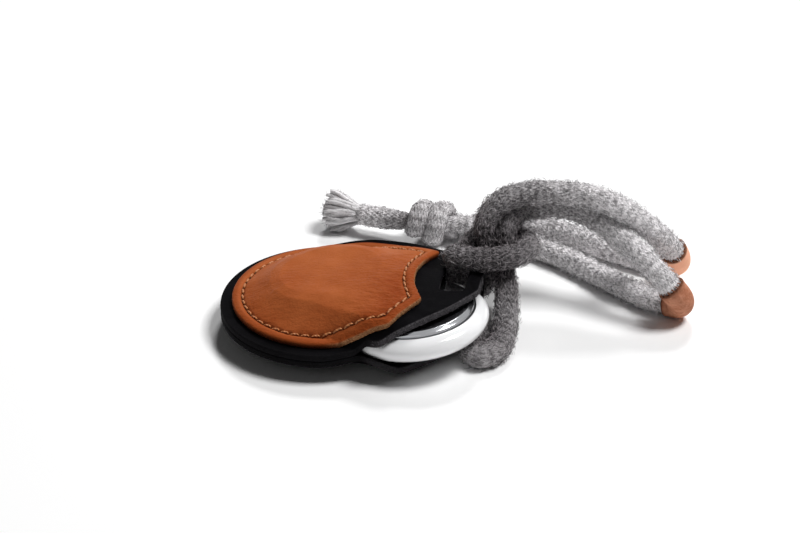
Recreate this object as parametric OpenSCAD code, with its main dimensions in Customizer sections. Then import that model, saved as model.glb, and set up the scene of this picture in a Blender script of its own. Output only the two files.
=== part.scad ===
// Tracker tag holder: a sewn leather pocket with a round coin tracker half out of it,
// hung on a soft wool cord that is looped through the neck and knotted behind.
// Millimetres. X runs along the neck, Y to the far side, Z up from the table.

/* [Pocket] */
// Radius of the round pocket, outer edge of the two black panels
panel_radius = 23.6; // [20:0.1:30]
// Radius of the sewn seam
seam_radius = 18.7; // [15:0.1:26]
// Thickness of the front panel leather
front_thickness = 1.5; // [0.8:0.1:2.5]
// Thickness of the back panel leather
back_thickness = 1.5; // [0.8:0.1:2.5]
// Height of the underside of the sewn rim over the table
rim_height = 4; // [2:0.1:6]
// How far the far side of the neck is lifted by the tag
neck_lift = 5; // [0:0.1:8]
// Length from the pocket centre to the end of the neck
neck_reach = 34; // [30:0.1:45]
// Distance of the near corner of the neck from the centre line
neck_near = 4.6; // [2:0.1:12]
// Distance of the far corner of the neck from the centre line
neck_far = 13.2; // [6:0.1:16]

/* [Patch] */
// Radius of the round part of the patch
patch_radius = 21; // [16:0.1:24]
// Thickness of the patch leather
patch_thickness = 1.5; // [0.8:0.1:2.5]
// Length of one stitch
stitch_length = 1.9; // [1:0.1:3]
// Thickness of the sewing thread
thread_thickness = 0.5; // [0.3:0.05:1]
// Number of stitches round the patch
stitch_count = 57; // [30:1:90]

/* [Slot] */
// Left end of the slot from the pocket centre
slot_start = 25.2; // [24:0.1:30]
// Width of the slot along the neck
slot_width = 5.6; // [4:0.1:8]
// Near end of the slot from the centre line
slot_near = 5; // [2:0.1:7]
// Far end of the slot from the centre line
slot_far = 12.9; // [6:0.1:14]

/* [Tag] */
// Radius of the coin tracker
tag_radius = 15.95; // [12:0.05:20]
// Thickness of the coin tracker
tag_thickness = 8; // [5:0.1:10]
// Centre of the tracker along the neck, as it lies in the picture
tag_x = 20.7; // [10:0.1:30]
// Distance of the tracker centre to the near side
tag_near = 7; // [0:0.1:12]
// Height of the tracker centre over the table
tag_height = 7.4; // [5:0.1:12]
// Angle by which the neck side of the tracker is raised
tag_rise = 7.1; // [0:0.1:12]
// Angle by which the near side of the tracker is raised
tag_lean = 2.5; // [0:0.1:8]
// Thickness of the coin cell
cell_thickness = 3.2; // [1.6:0.1:4]

/* [Cord] */
// Thickness of the wool cord
cord_thickness = 5; // [3:0.1:7]
// Wall of the leather sleeves on the cord
sleeve_wall = 0.6; // [0.4:0.05:1.2]
// Distance from one turn of the knot to the next
knot_pitch = 5.4; // [4:0.1:8]
// Turns of cord round the knot
knot_turns = 1.25; // [1:0.25:4]

/* [Hidden] */

// one length that all small fixed lengths are shares of
u = tag_radius / 15.95;
pu = panel_radius / 23.6;
gap = 0.2 * u;
cell_radius = 10 * u;

function smooth(t) = let (c = max(0, min(1, t))) c * c * (3 - 2 * c);
function unit(v) = v / norm(v);
function mixed(a, b, t) = a + (b - a) * t;

// rise and lean of the tracker as slopes
slope_x = tan(tag_rise);
slope_y = -tan(tag_lean) / cos(tag_rise);

// the tracker as photographed, and home in the pocket
tag_out = [tag_x, -tag_near, tag_height];
tag_home = [0.6 * pu, 1.2 * pu, 6.6 * u];
SLIDE_SHARES = [-0.1, 0, 0.125, 0.25, 0.375, 0.5, 0.625, 0.75, 0.875, 1];

// height at which the two panels meet
function meet(x, y) = rim_height + back_thickness
    + neck_lift * smooth((x * cos(40) + y * sin(40) - 9 * pu) / (18 * pu));

// outlines of the panels and the patch, point for point
tip_far = [neck_reach - 1 * pu, neck_far];
far_angle = atan2(tip_far[1], tip_far[0]) + acos(panel_radius / norm(tip_far));
KINK_SHARES = [[10.3, -21.3], [11.8, -20.9], [13.3, -21.9], [15, -22.6]];
lip = pu * KINK_SHARES[3];
tip_near = [neck_reach, -neck_near];
lip_bulge = 3.7 * pu;
lip_turn = (lip + tip_near) / 2 + lip_bulge * [cos(-46), sin(-46)];
horn_far = [23.4 * pu, 13 * pu];
horn_near = [22.4 * pu, -11 * pu];
patch_lip = [16.4 * pu, -20 * pu];
patch_angle = atan2(horn_far[1], horn_far[0]) + acos(patch_radius / norm(horn_far));
patch_kink = patch_radius * [cos(-68), sin(-68)];
patch_turn = patch_kink + 4.4 * pu * [cos(-20), sin(-20)];
ARC = 38;
TIP_SHARES = [0.03, 0.1, 0.24, 0.38, 0.5, 0.62, 0.76, 0.9, 0.97];

function curve(a, b, c, t) = (1 - t) * (1 - t) * a + 2 * t * (1 - t) * b + t * t * c;

panel_line = concat(
    [for (i = [0:ARC]) let (a = far_angle + (292 - far_angle) * i / ARC) panel_radius * [cos(a), sin(a)]],
    [for (p = KINK_SHARES) pu * p],
    [for (i = [1:9]) curve(lip, lip_turn, tip_near - [0.7 * pu, 0.7 * pu], i / 9)],
    [for (s = TIP_SHARES) mixed(tip_near, [neck_reach, tip_far[1] - 0.4 * pu], s) - [0, 0]],
    [for (i = [0:8]) mixed(tip_far, panel_radius * [cos(far_angle), sin(far_angle)], i / 9)]);

patch_line = concat(
    [for (i = [0:ARC]) let (a = patch_angle + (292 - patch_angle) * i / ARC) patch_radius * [cos(a), sin(a)]],
    [for (i = [1:4]) curve(patch_kink, patch_turn, patch_lip, i / 4)],
    [for (i = [1:9]) mixed(patch_lip, horn_near, i / 9)],
    [for (s = TIP_SHARES) let (c = mixed(horn_near, horn_far, s), w = 4 * s * (1 - s))
        c - [(mixed(horn_near, horn_far, 0.5)[0] - 19.6 * pu) * w, 0]],
    [for (i = [0:8]) mixed(horn_far, patch_radius * [cos(patch_angle), sin(patch_angle)], i / 9)]);

SIDES = len(panel_line);
IN_SHARES = [0.16, 0.34, 0.5, 0.62, 0.71, 0.79, 0.87, 0.94, 1];
OUT_SHARES = [0.25, 0.5, 0.75, 1];
RINGS = len(IN_SHARES) + len(OUT_SHARES);
PATCH_RINGS = len(IN_SHARES);

function grid_point(ring, i) = ring < PATCH_RINGS ? patch_line[i] * IN_SHARES[ring]
    : mixed(patch_line[i], panel_line[i], OUT_SHARES[ring - PATCH_RINGS]);

// the seam: an arc with a straight run to the lip and one along the far side of the neck
seam_end_near = seam_radius * [cos(276), sin(276)];
seam_out_near = [9.6 * pu, -21.6 * pu];
seam_end_far = seam_radius * [cos(far_angle), sin(far_angle)];
seam_out_far = [24 * pu, 13.8 * pu];

function to_line(p, a, b) = let (t = max(0, min(1, (p - a) * (b - a) / ((b - a) * (b - a)))))
    norm(p - mixed(a, b, t));
function left_of(p, a, b) = (b[0] - a[0]) * (p[1] - a[1]) - (b[1] - a[1]) * (p[0] - a[0]);

// distance inside the seam, 0 on the sewn side
function inside(p) = let (r = norm(p), a0 = atan2(p[1], p[0]), a = a0 < 0 ? a0 + 360 : a0,
        near = to_line(p, seam_end_near, seam_out_near), far = to_line(p, seam_end_far, seam_out_far))
    a >= far_angle && a <= 276 ? max(0, min(seam_radius - r, near, far))
    : a > 180 && p[0] < seam_out_near[0] && left_of(p, seam_end_near, seam_out_near) < 0 ? 0
    : a < 180 && p[0] < seam_out_far[0] && left_of(p, seam_end_far, seam_out_far) > 0 ? 0
    : min(near, far);

function tag_at(s) = mixed(tag_out, tag_home, s);
TAGS = [for (s = SLIDE_SHARES) tag_at(s)];
function plane(c, x, y) = c[2] + slope_x * (x - c[0]) + slope_y * (y - c[1]);
function away(c, x, y) = norm([x - c[0], y - c[1]]);

half_tag = tag_thickness / 2 + gap;
// the leather over the tracker: close over its own shape, and drawn to the seam like a tent
function over(c, p, m, e) = let (d = away(c, p[0], p[1]), z = plane(c, p[0], p[1]),
        hug = z + half_tag - 3.4 * u * smooth((d - 12.9 * u) / (4.3 * u)) - 5 * max(0, d - 16.5 * u),
        tent = z + half_tag - 0.9 * u * smooth((d - 12.5 * u) / (5 * u)),
        w = smooth(e / max(e + max(d - 13.2 * u, 0), 0.001 * u)))
    max(min(hug, m + 3 * e), m + max(0, tent - m) * w);
// the leather under it
function under(c, p) = let (d = away(c, p[0], p[1]), z = plane(c, p[0], p[1]))
    z - half_tag + 3.5 * u * smooth((d - 11.8 * u) / (5.2 * u)) + 5 * max(0, d - 16.4 * u);
function under_soft(c, p) = let (d = away(c, p[0], p[1]), z = plane(c, p[0], p[1]))
    z - half_tag + 2.8 * u * smooth((d - 12 * u) / (5 * u)) + 6 * u * smooth((d - 16.5 * u) / (5 * u));

// underside of the front panel and top of the back panel
function front_under(p) = let (m = meet(p[0], p[1]), e = inside(p))
    e <= 0 ? m : max([for (c = TAGS) over(c, p, m, e)]);
function back_top(p) = let (m = meet(p[0], p[1]), e = inside(p),
        low = min([for (c = TAGS) under_soft(c, p)]),
        bed = back_thickness + max(0, low - back_thickness) * smooth((p[0] - 4 * pu) / (8 * pu)),
        hug = min([for (c = TAGS) under(c, p)]))
    e <= 0 ? m : max(back_thickness, min(m - max(0, m - bed) * smooth(e / (5.5 * u)), max(hug, m - 3 * e)));

// every height is worked out once
GRID = [for (ring = [0:RINGS - 1]) [for (i = [0:SIDES - 1]) grid_point(ring, i)]];
MIDDLE = [0, 0];
FRONT = [for (row = GRID) [for (p = row) front_under(p)]];
BACK = [for (row = GRID) [for (p = row) back_top(p)]];
front_middle = front_under(MIDDLE);
back_middle = back_top(MIDDLE);

// a sheet on the grid between two heights per point
module sheet(rings, low, high, low_middle, high_middle) {
    n = SIDES;
    pts = concat([[0, 0, low_middle], [0, 0, high_middle]],
        [for (k = [0:rings - 1]) for (i = [0:n - 1]) [GRID[k][i][0], GRID[k][i][1], low[k][i]]],
        [for (k = [0:rings - 1]) for (i = [0:n - 1]) [GRID[k][i][0], GRID[k][i][1], high[k][i]]]);
    b = 2;
    t = 2 + rings * n;
    faces = concat(
        [for (i = [0:n - 1]) [0, b + i, b + (i + 1) % n]],
        [for (i = [0:n - 1]) [1, t + (i + 1) % n, t + i]],
        [for (k = [0:rings - 2]) for (i = [0:n - 1]) let (j = (i + 1) % n, o = b + k * n)
            [o + i, o + n + i, o + n + j]],
        [for (k = [0:rings - 2]) for (i = [0:n - 1]) let (j = (i + 1) % n, o = b + k * n)
            [o + i, o + n + j, o + j]],
        [for (k = [0:rings - 2]) for (i = [0:n - 1]) let (j = (i + 1) % n, o = t + k * n)
            [o + i, o + n + j, o + n + i]],
        [for (k = [0:rings - 2]) for (i = [0:n - 1]) let (j = (i + 1) % n, o = t + k * n)
            [o + i, o + j, o + n + j]],
        [for (i = [0:n - 1]) let (j = (i + 1) % n, k = rings - 1) [b + k * n + i, t + k * n + i, t + k * n + j]],
        [for (i = [0:n - 1]) let (j = (i + 1) % n, k = rings - 1) [b + k * n + i, t + k * n + j, b + k * n + j]]);
    polyhedron(points = pts, faces = faces, convexity = 6);
}

function raised(rows, h) = [for (row = rows) [for (z = row) z + h]];
function lesser(rows, rings) = [for (k = [0:rings - 1]) rows[k]];

module slot_cut() {
    r = 1.4 * pu;
    translate([0, 0, -5 * pu])
        linear_extrude(height = 30 * pu)
            translate([slot_start + r, -slot_near + r])
                offset(r = r, $fn = 24)
                    square([slot_width - 2 * r, slot_near + slot_far - 2 * r]);
}

module back_panel() {
    color("#1b1b1d")
        difference() {
            sheet(RINGS, raised(BACK, -back_thickness), BACK, back_middle - back_thickness, back_middle);
            slot_cut();
        }
}

module front_panel() {
    color("#1e1e20")
        difference() {
            sheet(RINGS, FRONT, raised(FRONT, front_thickness), front_middle, front_middle + front_thickness);
            slot_cut();
        }
}

patch_gap = 0.06 * pu;
patch_low = front_thickness + patch_gap;

module patch() {
    color("#a9572a")
        sheet(PATCH_RINGS, raised(lesser(FRONT, PATCH_RINGS), patch_low),
            raised(lesser(FRONT, PATCH_RINGS), patch_low + patch_thickness),
            front_middle + patch_low, front_middle + patch_low + patch_thickness);
}

// the stitch line, inside the edge of the patch, and its length
stitch_in = 2.35 * pu;
function inward(i) = let (n = SIDES, a = patch_line[(i + n - 1) % n], b = patch_line[(i + 1) % n],
        d = unit(b - a)) patch_line[i] + stitch_in * [-d[1], d[0]];
STITCH_LINE = [for (i = [0:SIDES - 1]) inward(i)];
function run(line, i) = i == 0 ? 0 : run(line, i - 1) + norm(line[i % len(line)] - line[i - 1]);
RUNS = [for (i = [0:SIDES]) run(STITCH_LINE, i)];
function at_run(s) = let (k = [for (i = [0:SIDES - 1]) if (RUNS[i] <= s && s < RUNS[i + 1]) i][0])
    mixed(STITCH_LINE[k], STITCH_LINE[(k + 1) % SIDES], (s - RUNS[k]) / (RUNS[k + 1] - RUNS[k]));
// height of the patch over a point, from the facet of the grid that holds it
function cross2(a, b) = a[0] * b[1] - a[1] * b[0];
function sector(p) = [for (i = [0:SIDES - 1]) let (a = patch_line[i], b = patch_line[(i + 1) % SIDES])
    if (cross2(a, p) >= 0 && cross2(p, b) > 0 && a * p > 0) i][0];
function patch_top(p) = let (i = sector(p), j = (i + 1) % SIDES, a = patch_line[i], b = patch_line[j],
        fa = cross2(p, b) / cross2(a, b), fb = cross2(a, p) / cross2(a, b), s = fa + fb,
        k = max([for (q = [0:PATCH_RINGS - 2]) if (q == 0 || IN_SHARES[q] <= s) q]),
        s0 = IN_SHARES[k], s1 = IN_SHARES[k + 1], t = fb / s1, o = (fa - s0 + s0 * t) / (s1 - s0),
        v = (fa + fb - s0) / (s1 - s0), w = 1 - fa / s0 - v)
    patch_low + patch_thickness + (o >= 0
        ? FRONT[k][i] + o * (FRONT[k + 1][i] - FRONT[k][i]) + t * (FRONT[k + 1][j] - FRONT[k][i])
        : FRONT[k][i] + v * (FRONT[k + 1][j] - FRONT[k][i]) + w * (FRONT[k][j] - FRONT[k][i]));

module patch_stitches() {
    total = RUNS[SIDES];
    color("#8e451c")
        for (i = [0:stitch_count - 1]) {
            mid = (i + 0.5) * total / stitch_count;
            a = at_run(mid - stitch_length / 2);
            b = at_run(mid + stitch_length / 2);
            za = patch_top(a);
            zb = patch_top(b);
            zm = patch_top((a + b) / 2);
            z = max(zm, (za + zb) / 2) + thread_thickness * 0.9;
            translate([(a[0] + b[0]) / 2, (a[1] + b[1]) / 2, z])
                rotate([0, 90 - atan2(zb - za, norm(b - a)), atan2(b[1] - a[1], b[0] - a[0])])
                    cylinder(r = thread_thickness / 2, h = stitch_length, center = true, $fn = 6);
        }
}

// everything of the tracker is drawn about its own middle, steel side up
module in_tag() {
    translate(tag_out)
        rotate([-tag_lean, -tag_rise, 0])
            children();
}

SHELL_SHARES = [[0, -4], [7, -3.95], [10.5, -3.6], [13, -2.9], [14.8, -1.9], [15.7, -0.6], [15.95, 0.4],
    [15.7, 1.3], [15, 2.1], [13.9, 2.6], [13.3, 2.72], [13.3, 1.5], [12.2, 1.5], [12.2, -0.9],
    [11.4, -1.9], [9, -2.6], [5, -2.9], [0, -3]];
COVER_SHARES = [[0, 3.3], [12.35, 3.25], [12.35, 1.95], [12.95, 1.95], [12.95, 3.1], [12.8, 3.45],
    [12.2, 3.75], [8, 3.93], [0, 4]];
ht = tag_thickness / 8;
function sized(rows) = [for (p = rows) [p[0] * u, p[1] * ht]];

module tag_shell() {
    color("#f2f2f4")
        in_tag()
            rotate_extrude($fn = 72)
                polygon(sized(SHELL_SHARES));
}

module ring_part(inner, outer, low, high, facets) {
    translate([0, 0, low])
        difference() {
            cylinder(r = outer, h = high - low, $fn = facets);
            translate([0, 0, -0.5 * u])
                cylinder(r = inner, h = high - low + 1 * u, $fn = facets);
        }
}

module arc_part(inner, outer, low, high, from, to) {
    translate([0, 0, low])
        linear_extrude(height = high - low)
            polygon(concat([for (i = [0:4]) let (a = from + (to - from) * i / 4) outer * [cos(a), sin(a)]],
                [for (i = [4:-1:0]) let (a = from + (to - from) * i / 4) inner * [cos(a), sin(a)]]));
}

module tag_cover() {
    color("#c9ccd1")
        in_tag() {
            rotate_extrude($fn = 72)
                polygon(sized(COVER_SHARES));
            // three tabs that lock under the lugs of the frame
            for (a = [0, 120, 240])
                difference() {
                    arc_part(11.55 * u, 12.5 * u, 1.6 * ht, 2.1 * ht, a + 20, a + 40);
                    ring_part(12.5 * u, 14 * u, 0, 4 * ht, 24);
                }
        }
}

module cover_seal() {
    color("#3b3f45")
        in_tag()
            ring_part(12.6 * u, 13.1 * u, 1.52 * ht, 1.85 * ht, 72);
}

module coin_cell() {
    low = -0.1 * ht;
    color("#b9bdc2")
        in_tag()
            rotate_extrude($fn = 60)
                polygon([[0, low], [cell_radius - 1.1 * u, low], [cell_radius - 0.8 * u, low + 0.35 * ht],
                    [cell_radius, low + 0.6 * ht], [cell_radius, low + cell_thickness - 0.25 * ht],
                    [cell_radius - 0.25 * u, low + cell_thickness], [0, low + cell_thickness]]);
}

module circuit_board() {
    color("#1d5c3a")
        in_tag()
            ring_part(5.2 * u, 11.4 * u, -1.1 * ht, -0.5 * ht, 60);
}

module battery_contacts() {
    color("#d3b35a")
        in_tag()
            for (a = [30, 150, 270])
                rotate([0, 0, a])
                    translate([7.2 * u, -0.9 * u, -0.48 * ht])
                        cube([2 * u, 1.8 * u, 0.34 * ht]);
}

module antenna_ring() {
    color("#caa46a")
        in_tag()
            ring_part(6.4 * u, 10 * u, -1.32 * ht, -1.13 * ht, 60);
}

module inner_frame() {
    color("#dfe2e4")
        in_tag() {
            ring_part(10.2 * u, 12.05 * u, -0.46 * ht, 1.4 * ht, 60);
            for (a = [0, 120, 240]) {
                arc_part(10.25 * u, 11.4 * u, 1.4 * ht, 2.7 * ht, a + 16, a + 44);
                arc_part(11.4 * u, 11.95 * u, 2.25 * ht, 2.7 * ht, a + 16, a + 44);
            }
        }
}

module voice_coil() {
    color("#b06a35")
        in_tag()
            ring_part(3.6 * u, 4.5 * u, -2.7 * ht, -1.2 * ht, 48);
}

module speaker_magnet() {
    color("#8f9499")
        in_tag() {
            translate([0, 0, -2.75 * ht])
                cylinder(r = 3.3 * u, h = 1.9 * ht, $fn = 48);
            translate([0, 0, -0.85 * ht])
                cylinder(r = 4.9 * u, h = 0.5 * ht, $fn = 48);
        }
}

// the cord: route points, each with how far its section is squeezed along X, Y and Z
rc = cord_thickness / 2;
cu = cord_thickness / 5;
ROUND_SHARES = [1, 1, 1];
TUBE = 10;

BIGHT = [
    [26.6, 10.35, 7.6, 0.52, 0.95, 0.9], [26.6, 10.35, 10.4, 0.52, 0.95, 0.9],
    [26.6, 9.6, 13.5, 0.56, 0.9, 0.9], [26.5, 7.8, 15.5, 0.8, 0.85, 0.9], [30.8, 6.5, 16, 1, 0.86, 0.95],
    [35.9, 6.8, 16.1, 1, 0.86, 1], [40.6, 8.8, 16.3, 0.9, 0.9, 1], [43.1, 13, 16.2, 0.9, 1, 1],
    [41, 17.8, 15.2, 0.9, 0.9, 1], [35.8, 19.1, 15, 1, 0.86, 0.95], [31.5, 17.5, 15.1, 0.9, 0.86, 0.9],
    [29.4, 13.1, 15.4, 0.6, 0.8, 0.9], [29.4, 10.8, 13.4, 0.52, 0.85, 0.9],
    [29.4, 10.35, 10.4, 0.52, 0.95, 0.9], [29.4, 10.35, 7.6, 0.52, 0.95, 0.9]];

NEAR = [
    [26.6, 10.35, 7.6, 0.52, 0.95, 0.9], [26.6, 10.35, 5.9, 0.52, 0.95, 0.8],
    [26.9, 8.5, 3.2, 0.62, 0.8, 0.7], [30.4, 5.8, 1.7, 0.9, 0.84, 0.6], [32.8, 2.2, 1.5, 1, 1, 0.6],
    [33.8, -2.3, 1.4, 1.05, 1.05, 0.56], [33.3, -6.8, 1.3, 1.05, 1, 0.52],
    [33.2, -10.5, 2.6, 0.9, 0.9, 0.92], [35, -12, 2.6, 1, 1, 1], [38, -9.6, 2.5, 1, 1, 1],
    [39.3, -5.3, 2.6, 1, 1, 1], [39.6, -1, 3.6, 1, 1, 1], [39.4, 3.4, 5.8, 1, 1, 1],
    [38.8, 7.4, 8.8, 0.92, 0.92, 0.92], [38, 11, 11.9, 0.84, 0.84, 0.9], [37.7, 12.8, 15.7, 0.8, 0.84, 1],
    [38, 15.7, 19.3, 0.86, 0.88, 1], [40.4, 20.3, 21.3, 1, 1, 1], [45, 22.2, 21.7, 1, 1, 1],
    [51, 22.6, 21.6, 1, 1, 1], [58.4, 19.6, 20.2, 1, 1, 1], [65.4, 15.6, 16.8, 1, 1, 1],
    [71.6, 12, 12.6, 1, 1, 1], [75, 10.9, 9.4, 1, 1, 1], [76.9, 11.8, 6.4, 1, 1, 1],
    [76.8, 14, 3.8, 1, 1, 1], [74.5, 15.6, 3.1, 1, 1, 1], [71.4, 16.6, 2.8, 1, 1, 1],
    [61, 24.3, 2.5, 1, 1, 1], [50, 33.2, 2.5, 1, 1, 1], [41, 38.2, 2.5, 1, 1, 1],
    [32.5, 40.2, 3.6, 1, 0.95, 0.95], [27.4, 40.6, 5.4, 1, 0.8, 0.8], [24.2, 40.6, 5.4, 1, 0.74, 0.74]];

FAR = [
    [29.4, 10.35, 7.6, 0.52, 0.95, 0.9], [29.4, 10.35, 5.9, 0.52, 0.95, 0.8],
    [30.5, 12.3, 4.3, 0.74, 0.8, 0.75], [32.8, 14.2, 4.4, 0.8, 0.85, 0.8],
    [34.5, 15.1, 6.8, 0.74, 0.8, 0.8], [35, 15, 10.4, 0.66, 0.8, 0.9],
    [34.4, 14.2, 13.8, 0.64, 0.84, 0.9], [33.6, 13.1, 16.5, 0.66, 0.84, 1],
    [32.9, 13.8, 20.1, 0.86, 0.88, 1], [35.6, 16.6, 24.4, 1, 1, 1], [41, 18.4, 26.5, 1, 1, 1],
    [48.5, 18.8, 27.1, 1, 1, 1], [56, 19.4, 26.3, 1, 1, 1], [63, 19, 24, 1, 1, 1],
    [69.2, 21, 18.6, 1, 1, 1], [73, 24, 13.6, 1, 1, 1], [74.9, 26.6, 10.2, 1, 1, 1],
    [75.9, 29.2, 6.9, 1, 1, 1], [75.6, 31.8, 4.2, 1, 1, 1], [73.4, 33.2, 3.1, 1, 1, 1],
    [70.4, 33.8, 2.8, 1, 1, 1], [60, 38.4, 2.5, 1, 1, 1], [50.6, 44.4, 2.5, 1, 1, 1],
    [43.6, 47.4, 2.5, 1, 1, 1], [36, 47.4, 2.6, 1, 0.95, 1], [30, 45.8, 2.8, 1, 0.9, 0.95],
    [25.4, 44.8, 3.1, 1, 0.84, 0.84], [22, 44.1, 3.6, 0.9, 0.74, 0.74]];

TAIL = [
    [24.2, 40.6, 5.4, 1, 0.74, 0.74], [18.4, 40.6, 5.4, 1, 0.74, 0.74], [12, 40.8, 5.4, 1, 0.76, 0.76],
    [7.4, 41.6, 5.2, 1, 0.96, 0.96], [0.6, 43.2, 5, 1, 1, 1]];

function points(rows) = [for (p = rows) cu * [p[0], p[1], p[2]]];
function squeezes(rows) = [for (p = rows) [p[3], p[4], p[5]]];

function directions(line) = [for (i = [0:len(line) - 1])
    unit(line[min(i + 1, len(line) - 1)] - line[max(i - 1, 0)])];
function square_to(v, t) = unit(v - (v * t) * t);
function sides_of(dirs) = let (first = square_to([0.31, 0.87, 0.38], dirs[0]))
    [for (i = 0, v = first; i < len(dirs); i = i + 1,
        v = i < len(dirs) ? square_to(v, dirs[i]) : v) v];
function ring_at(c, d, s, q, r) = let (w = cross(d, s))
    [for (k = [0:TUBE - 1]) let (a = 360 * k / TUBE, o = r * (cos(a) * s + sin(a) * w))
        c + [o[0] * q[0], o[1] * q[1], o[2] * q[2]]];
function rings_of(rows, r) = let (line = points(rows), dirs = directions(line), ss = sides_of(dirs),
        qs = squeezes(rows))
    [for (i = [0:len(line) - 1]) ring_at(line[i], dirs[i], ss[i], qs[i], r)];
function joined(lists) = [for (a = lists) for (b = a) b];

// a closed tube through rings that are ready
module tube(rings) {
    n = len(rings[0]);
    m = len(rings);
    faces = concat(
        [for (k = [0:m - 2]) for (i = [0:n - 1]) let (j = (i + 1) % n) [k * n + i, k * n + n + i, k * n + n + j]],
        [for (k = [0:m - 2]) for (i = [0:n - 1]) let (j = (i + 1) % n) [k * n + i, k * n + n + j, k * n + j]],
        [[for (i = [0:n - 1]) i]],
        [[for (i = [n - 1:-1:0]) (m - 1) * n + i]]);
    polyhedron(points = joined(rings), faces = faces, convexity = 8);
}

// a tube with a bore, between outer and inner rings
module hollow(outer, inner) {
    n = len(outer[0]);
    m = len(outer);
    o = m * n;
    faces = concat(
        [for (k = [0:m - 2]) for (i = [0:n - 1]) let (j = (i + 1) % n) [k * n + i, k * n + n + i, k * n + n + j]],
        [for (k = [0:m - 2]) for (i = [0:n - 1]) let (j = (i + 1) % n) [k * n + i, k * n + n + j, k * n + j]],
        [for (k = [0:m - 2]) for (i = [0:n - 1]) let (j = (i + 1) % n)
            [o + k * n + i, o + k * n + n + j, o + k * n + n + i]],
        [for (k = [0:m - 2]) for (i = [0:n - 1]) let (j = (i + 1) % n)
            [o + k * n + i, o + k * n + j, o + k * n + n + j]],
        [for (i = [0:n - 1]) let (j = (i + 1) % n) [i, j, o + j]],
        [for (i = [0:n - 1]) let (j = (i + 1) % n) [i, o + j, o + i]],
        [for (i = [0:n - 1]) let (j = (i + 1) % n, k = (m - 1) * n) [k + i, o + k + j, k + j]],
        [for (i = [0:n - 1]) let (j = (i + 1) % n, k = (m - 1) * n) [k + i, o + k + i, o + k + j]]);
    polyhedron(points = concat(joined(outer), joined(inner)), faces = faces, convexity = 8);
}

function part_of(rows, a, b) = [for (i = [a:b]) rows[i]];
NEAR_SLEEVE = [23, 26];
FAR_SLEEVE = [16, 19];

module cord_bight() {
    color("#4a4748")
        tube(rings_of(BIGHT, rc));
}

module cord_near() {
    color("#6d696b")
        tube(rings_of(NEAR, rc));
}

module cord_far() {
    color("#777376")
        tube(rings_of(FAR, rc));
}

module sleeve(rows, span) {
    outer = part_of(rings_of(rows, rc + gap / 3 + sleeve_wall), span[0], span[1]);
    inner = part_of(rings_of(rows, rc + gap / 3), span[0], span[1]);
    color("#b8643a")
        hollow(outer, inner);
}

module sleeve_near() {
    sleeve(NEAR, NEAR_SLEEVE);
}

module sleeve_far() {
    sleeve(FAR, FAR_SLEEVE);
}

// small stitches along the seam of each sleeve, on its upper end
module sleeve_thread(rows, span, side) {
    rings = rings_of(rows, rc + sleeve_wall + gap / 3 + thread_thickness * 0.42);
    color("#c9793c")
        for (k = [span[0]:span[1] - 1]) for (t = [0.3, 0.7]) {
            a = mixed(rings[k][side], rings[k + 1][side], t - 0.14);
            b = mixed(rings[k][side], rings[k + 1][side], t + 0.14);
            d = b - a;
            translate((a + b) / 2)
                rotate([0, acos(d[2] / norm(d)), atan2(d[1], d[0])])
                    cylinder(r = thread_thickness * 0.36, h = norm(d), center = true, $fn = 6);
        }
}

module sleeve_stitches() {
    sleeve_thread(NEAR, NEAR_SLEEVE, 2);
    sleeve_thread(FAR, FAR_SLEEVE, 2);
}

// the knot: one unbroken winding round the near strand, flattened against it
knot_from = cu * [23.6, 40.6, 5.4];
knot_radius = 3.75 * cu;
knot_flat = 1.6 * cu;
knot_wide = (knot_pitch - 0.5 * cu) / 2;
KNOT_STEPS = 16;
function knot_middle(t) = let (a = -35 + 360 * knot_turns * t)
    knot_from + [-knot_pitch * 0.46 - knot_pitch * knot_turns * t, knot_radius * cos(a), knot_radius * sin(a)];
function knot_ring(t) = let (a = -35 + 360 * knot_turns * t, c = knot_middle(t), out = [0, cos(a), sin(a)])
    [for (k = [0:TUBE - 1]) let (b = -360 * k / TUBE)
        c + knot_flat * cos(b) * out + [knot_wide * sin(b), 0, 0]];
KNOT = [for (i = [0:KNOT_STEPS]) knot_ring(i / KNOT_STEPS)];
KNOT_LINE = [for (i = [0:KNOT_STEPS]) knot_middle(i / KNOT_STEPS)];
knot_least = min([for (i = [0:KNOT_STEPS]) for (j = [0:KNOT_STEPS])
    if (j - i >= 10) for (p = KNOT[i]) for (q = KNOT[j]) norm(p - q)]);
echo(knot_least_gap = knot_least);

module cord_knot() {
    color("#8d898b")
        tube(KNOT);
}

module cord_tail() {
    color("#8f8b8d")
        tube(rings_of(TAIL, rc));
}

// the loose end: strands that spread
FRAY = [[0, 0, 1.0], [1.5, 1.2, 0.9], [-1.4, 1.3, 0.9], [1.7, -1.1, 0.9], [-1.3, -1.5, 0.9], [0.1, 2.1, 0.8],
    [0.2, -2.2, 0.8]];
module frayed_end() {
    start = cu * [0.6, 43.2, 5];
    along = unit([-0.972, 0.23, -0.03]);
    side = square_to([0, 1, 0], along);
    up = cross(along, side);
    color("#9a9698")
        for (f = FRAY) {
            a = start + along * 0.1 * cu + 0.42 * cu * (f[0] * side + f[1] * up);
            b = start + along * 5 * cu + 0.95 * cu * (f[0] * side + f[1] * up);
            c = start + along * 10.4 * cu + 1.6 * cu * (f[0] * side + f[1] * up);
            line = [a, b, c];
            dirs = directions(line);
            ss = sides_of(dirs);
            tube([for (i = [0:2]) ring_at(line[i], dirs[i], ss[i], ROUND_SHARES, 0.4 * cu * f[2] * (1 + 0.35 * i))]);
        }
}

back_panel();
front_panel();
patch();
patch_stitches();
tag_shell();
tag_cover();
cover_seal();
coin_cell();
battery_contacts();
circuit_board();
antenna_ring();
inner_frame();
voice_coil();
speaker_magnet();
cord_bight();
cord_near();
cord_far();
sleeve_near();
sleeve_far();
sleeve_stitches();
cord_knot();
cord_tail();
frayed_end();
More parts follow.
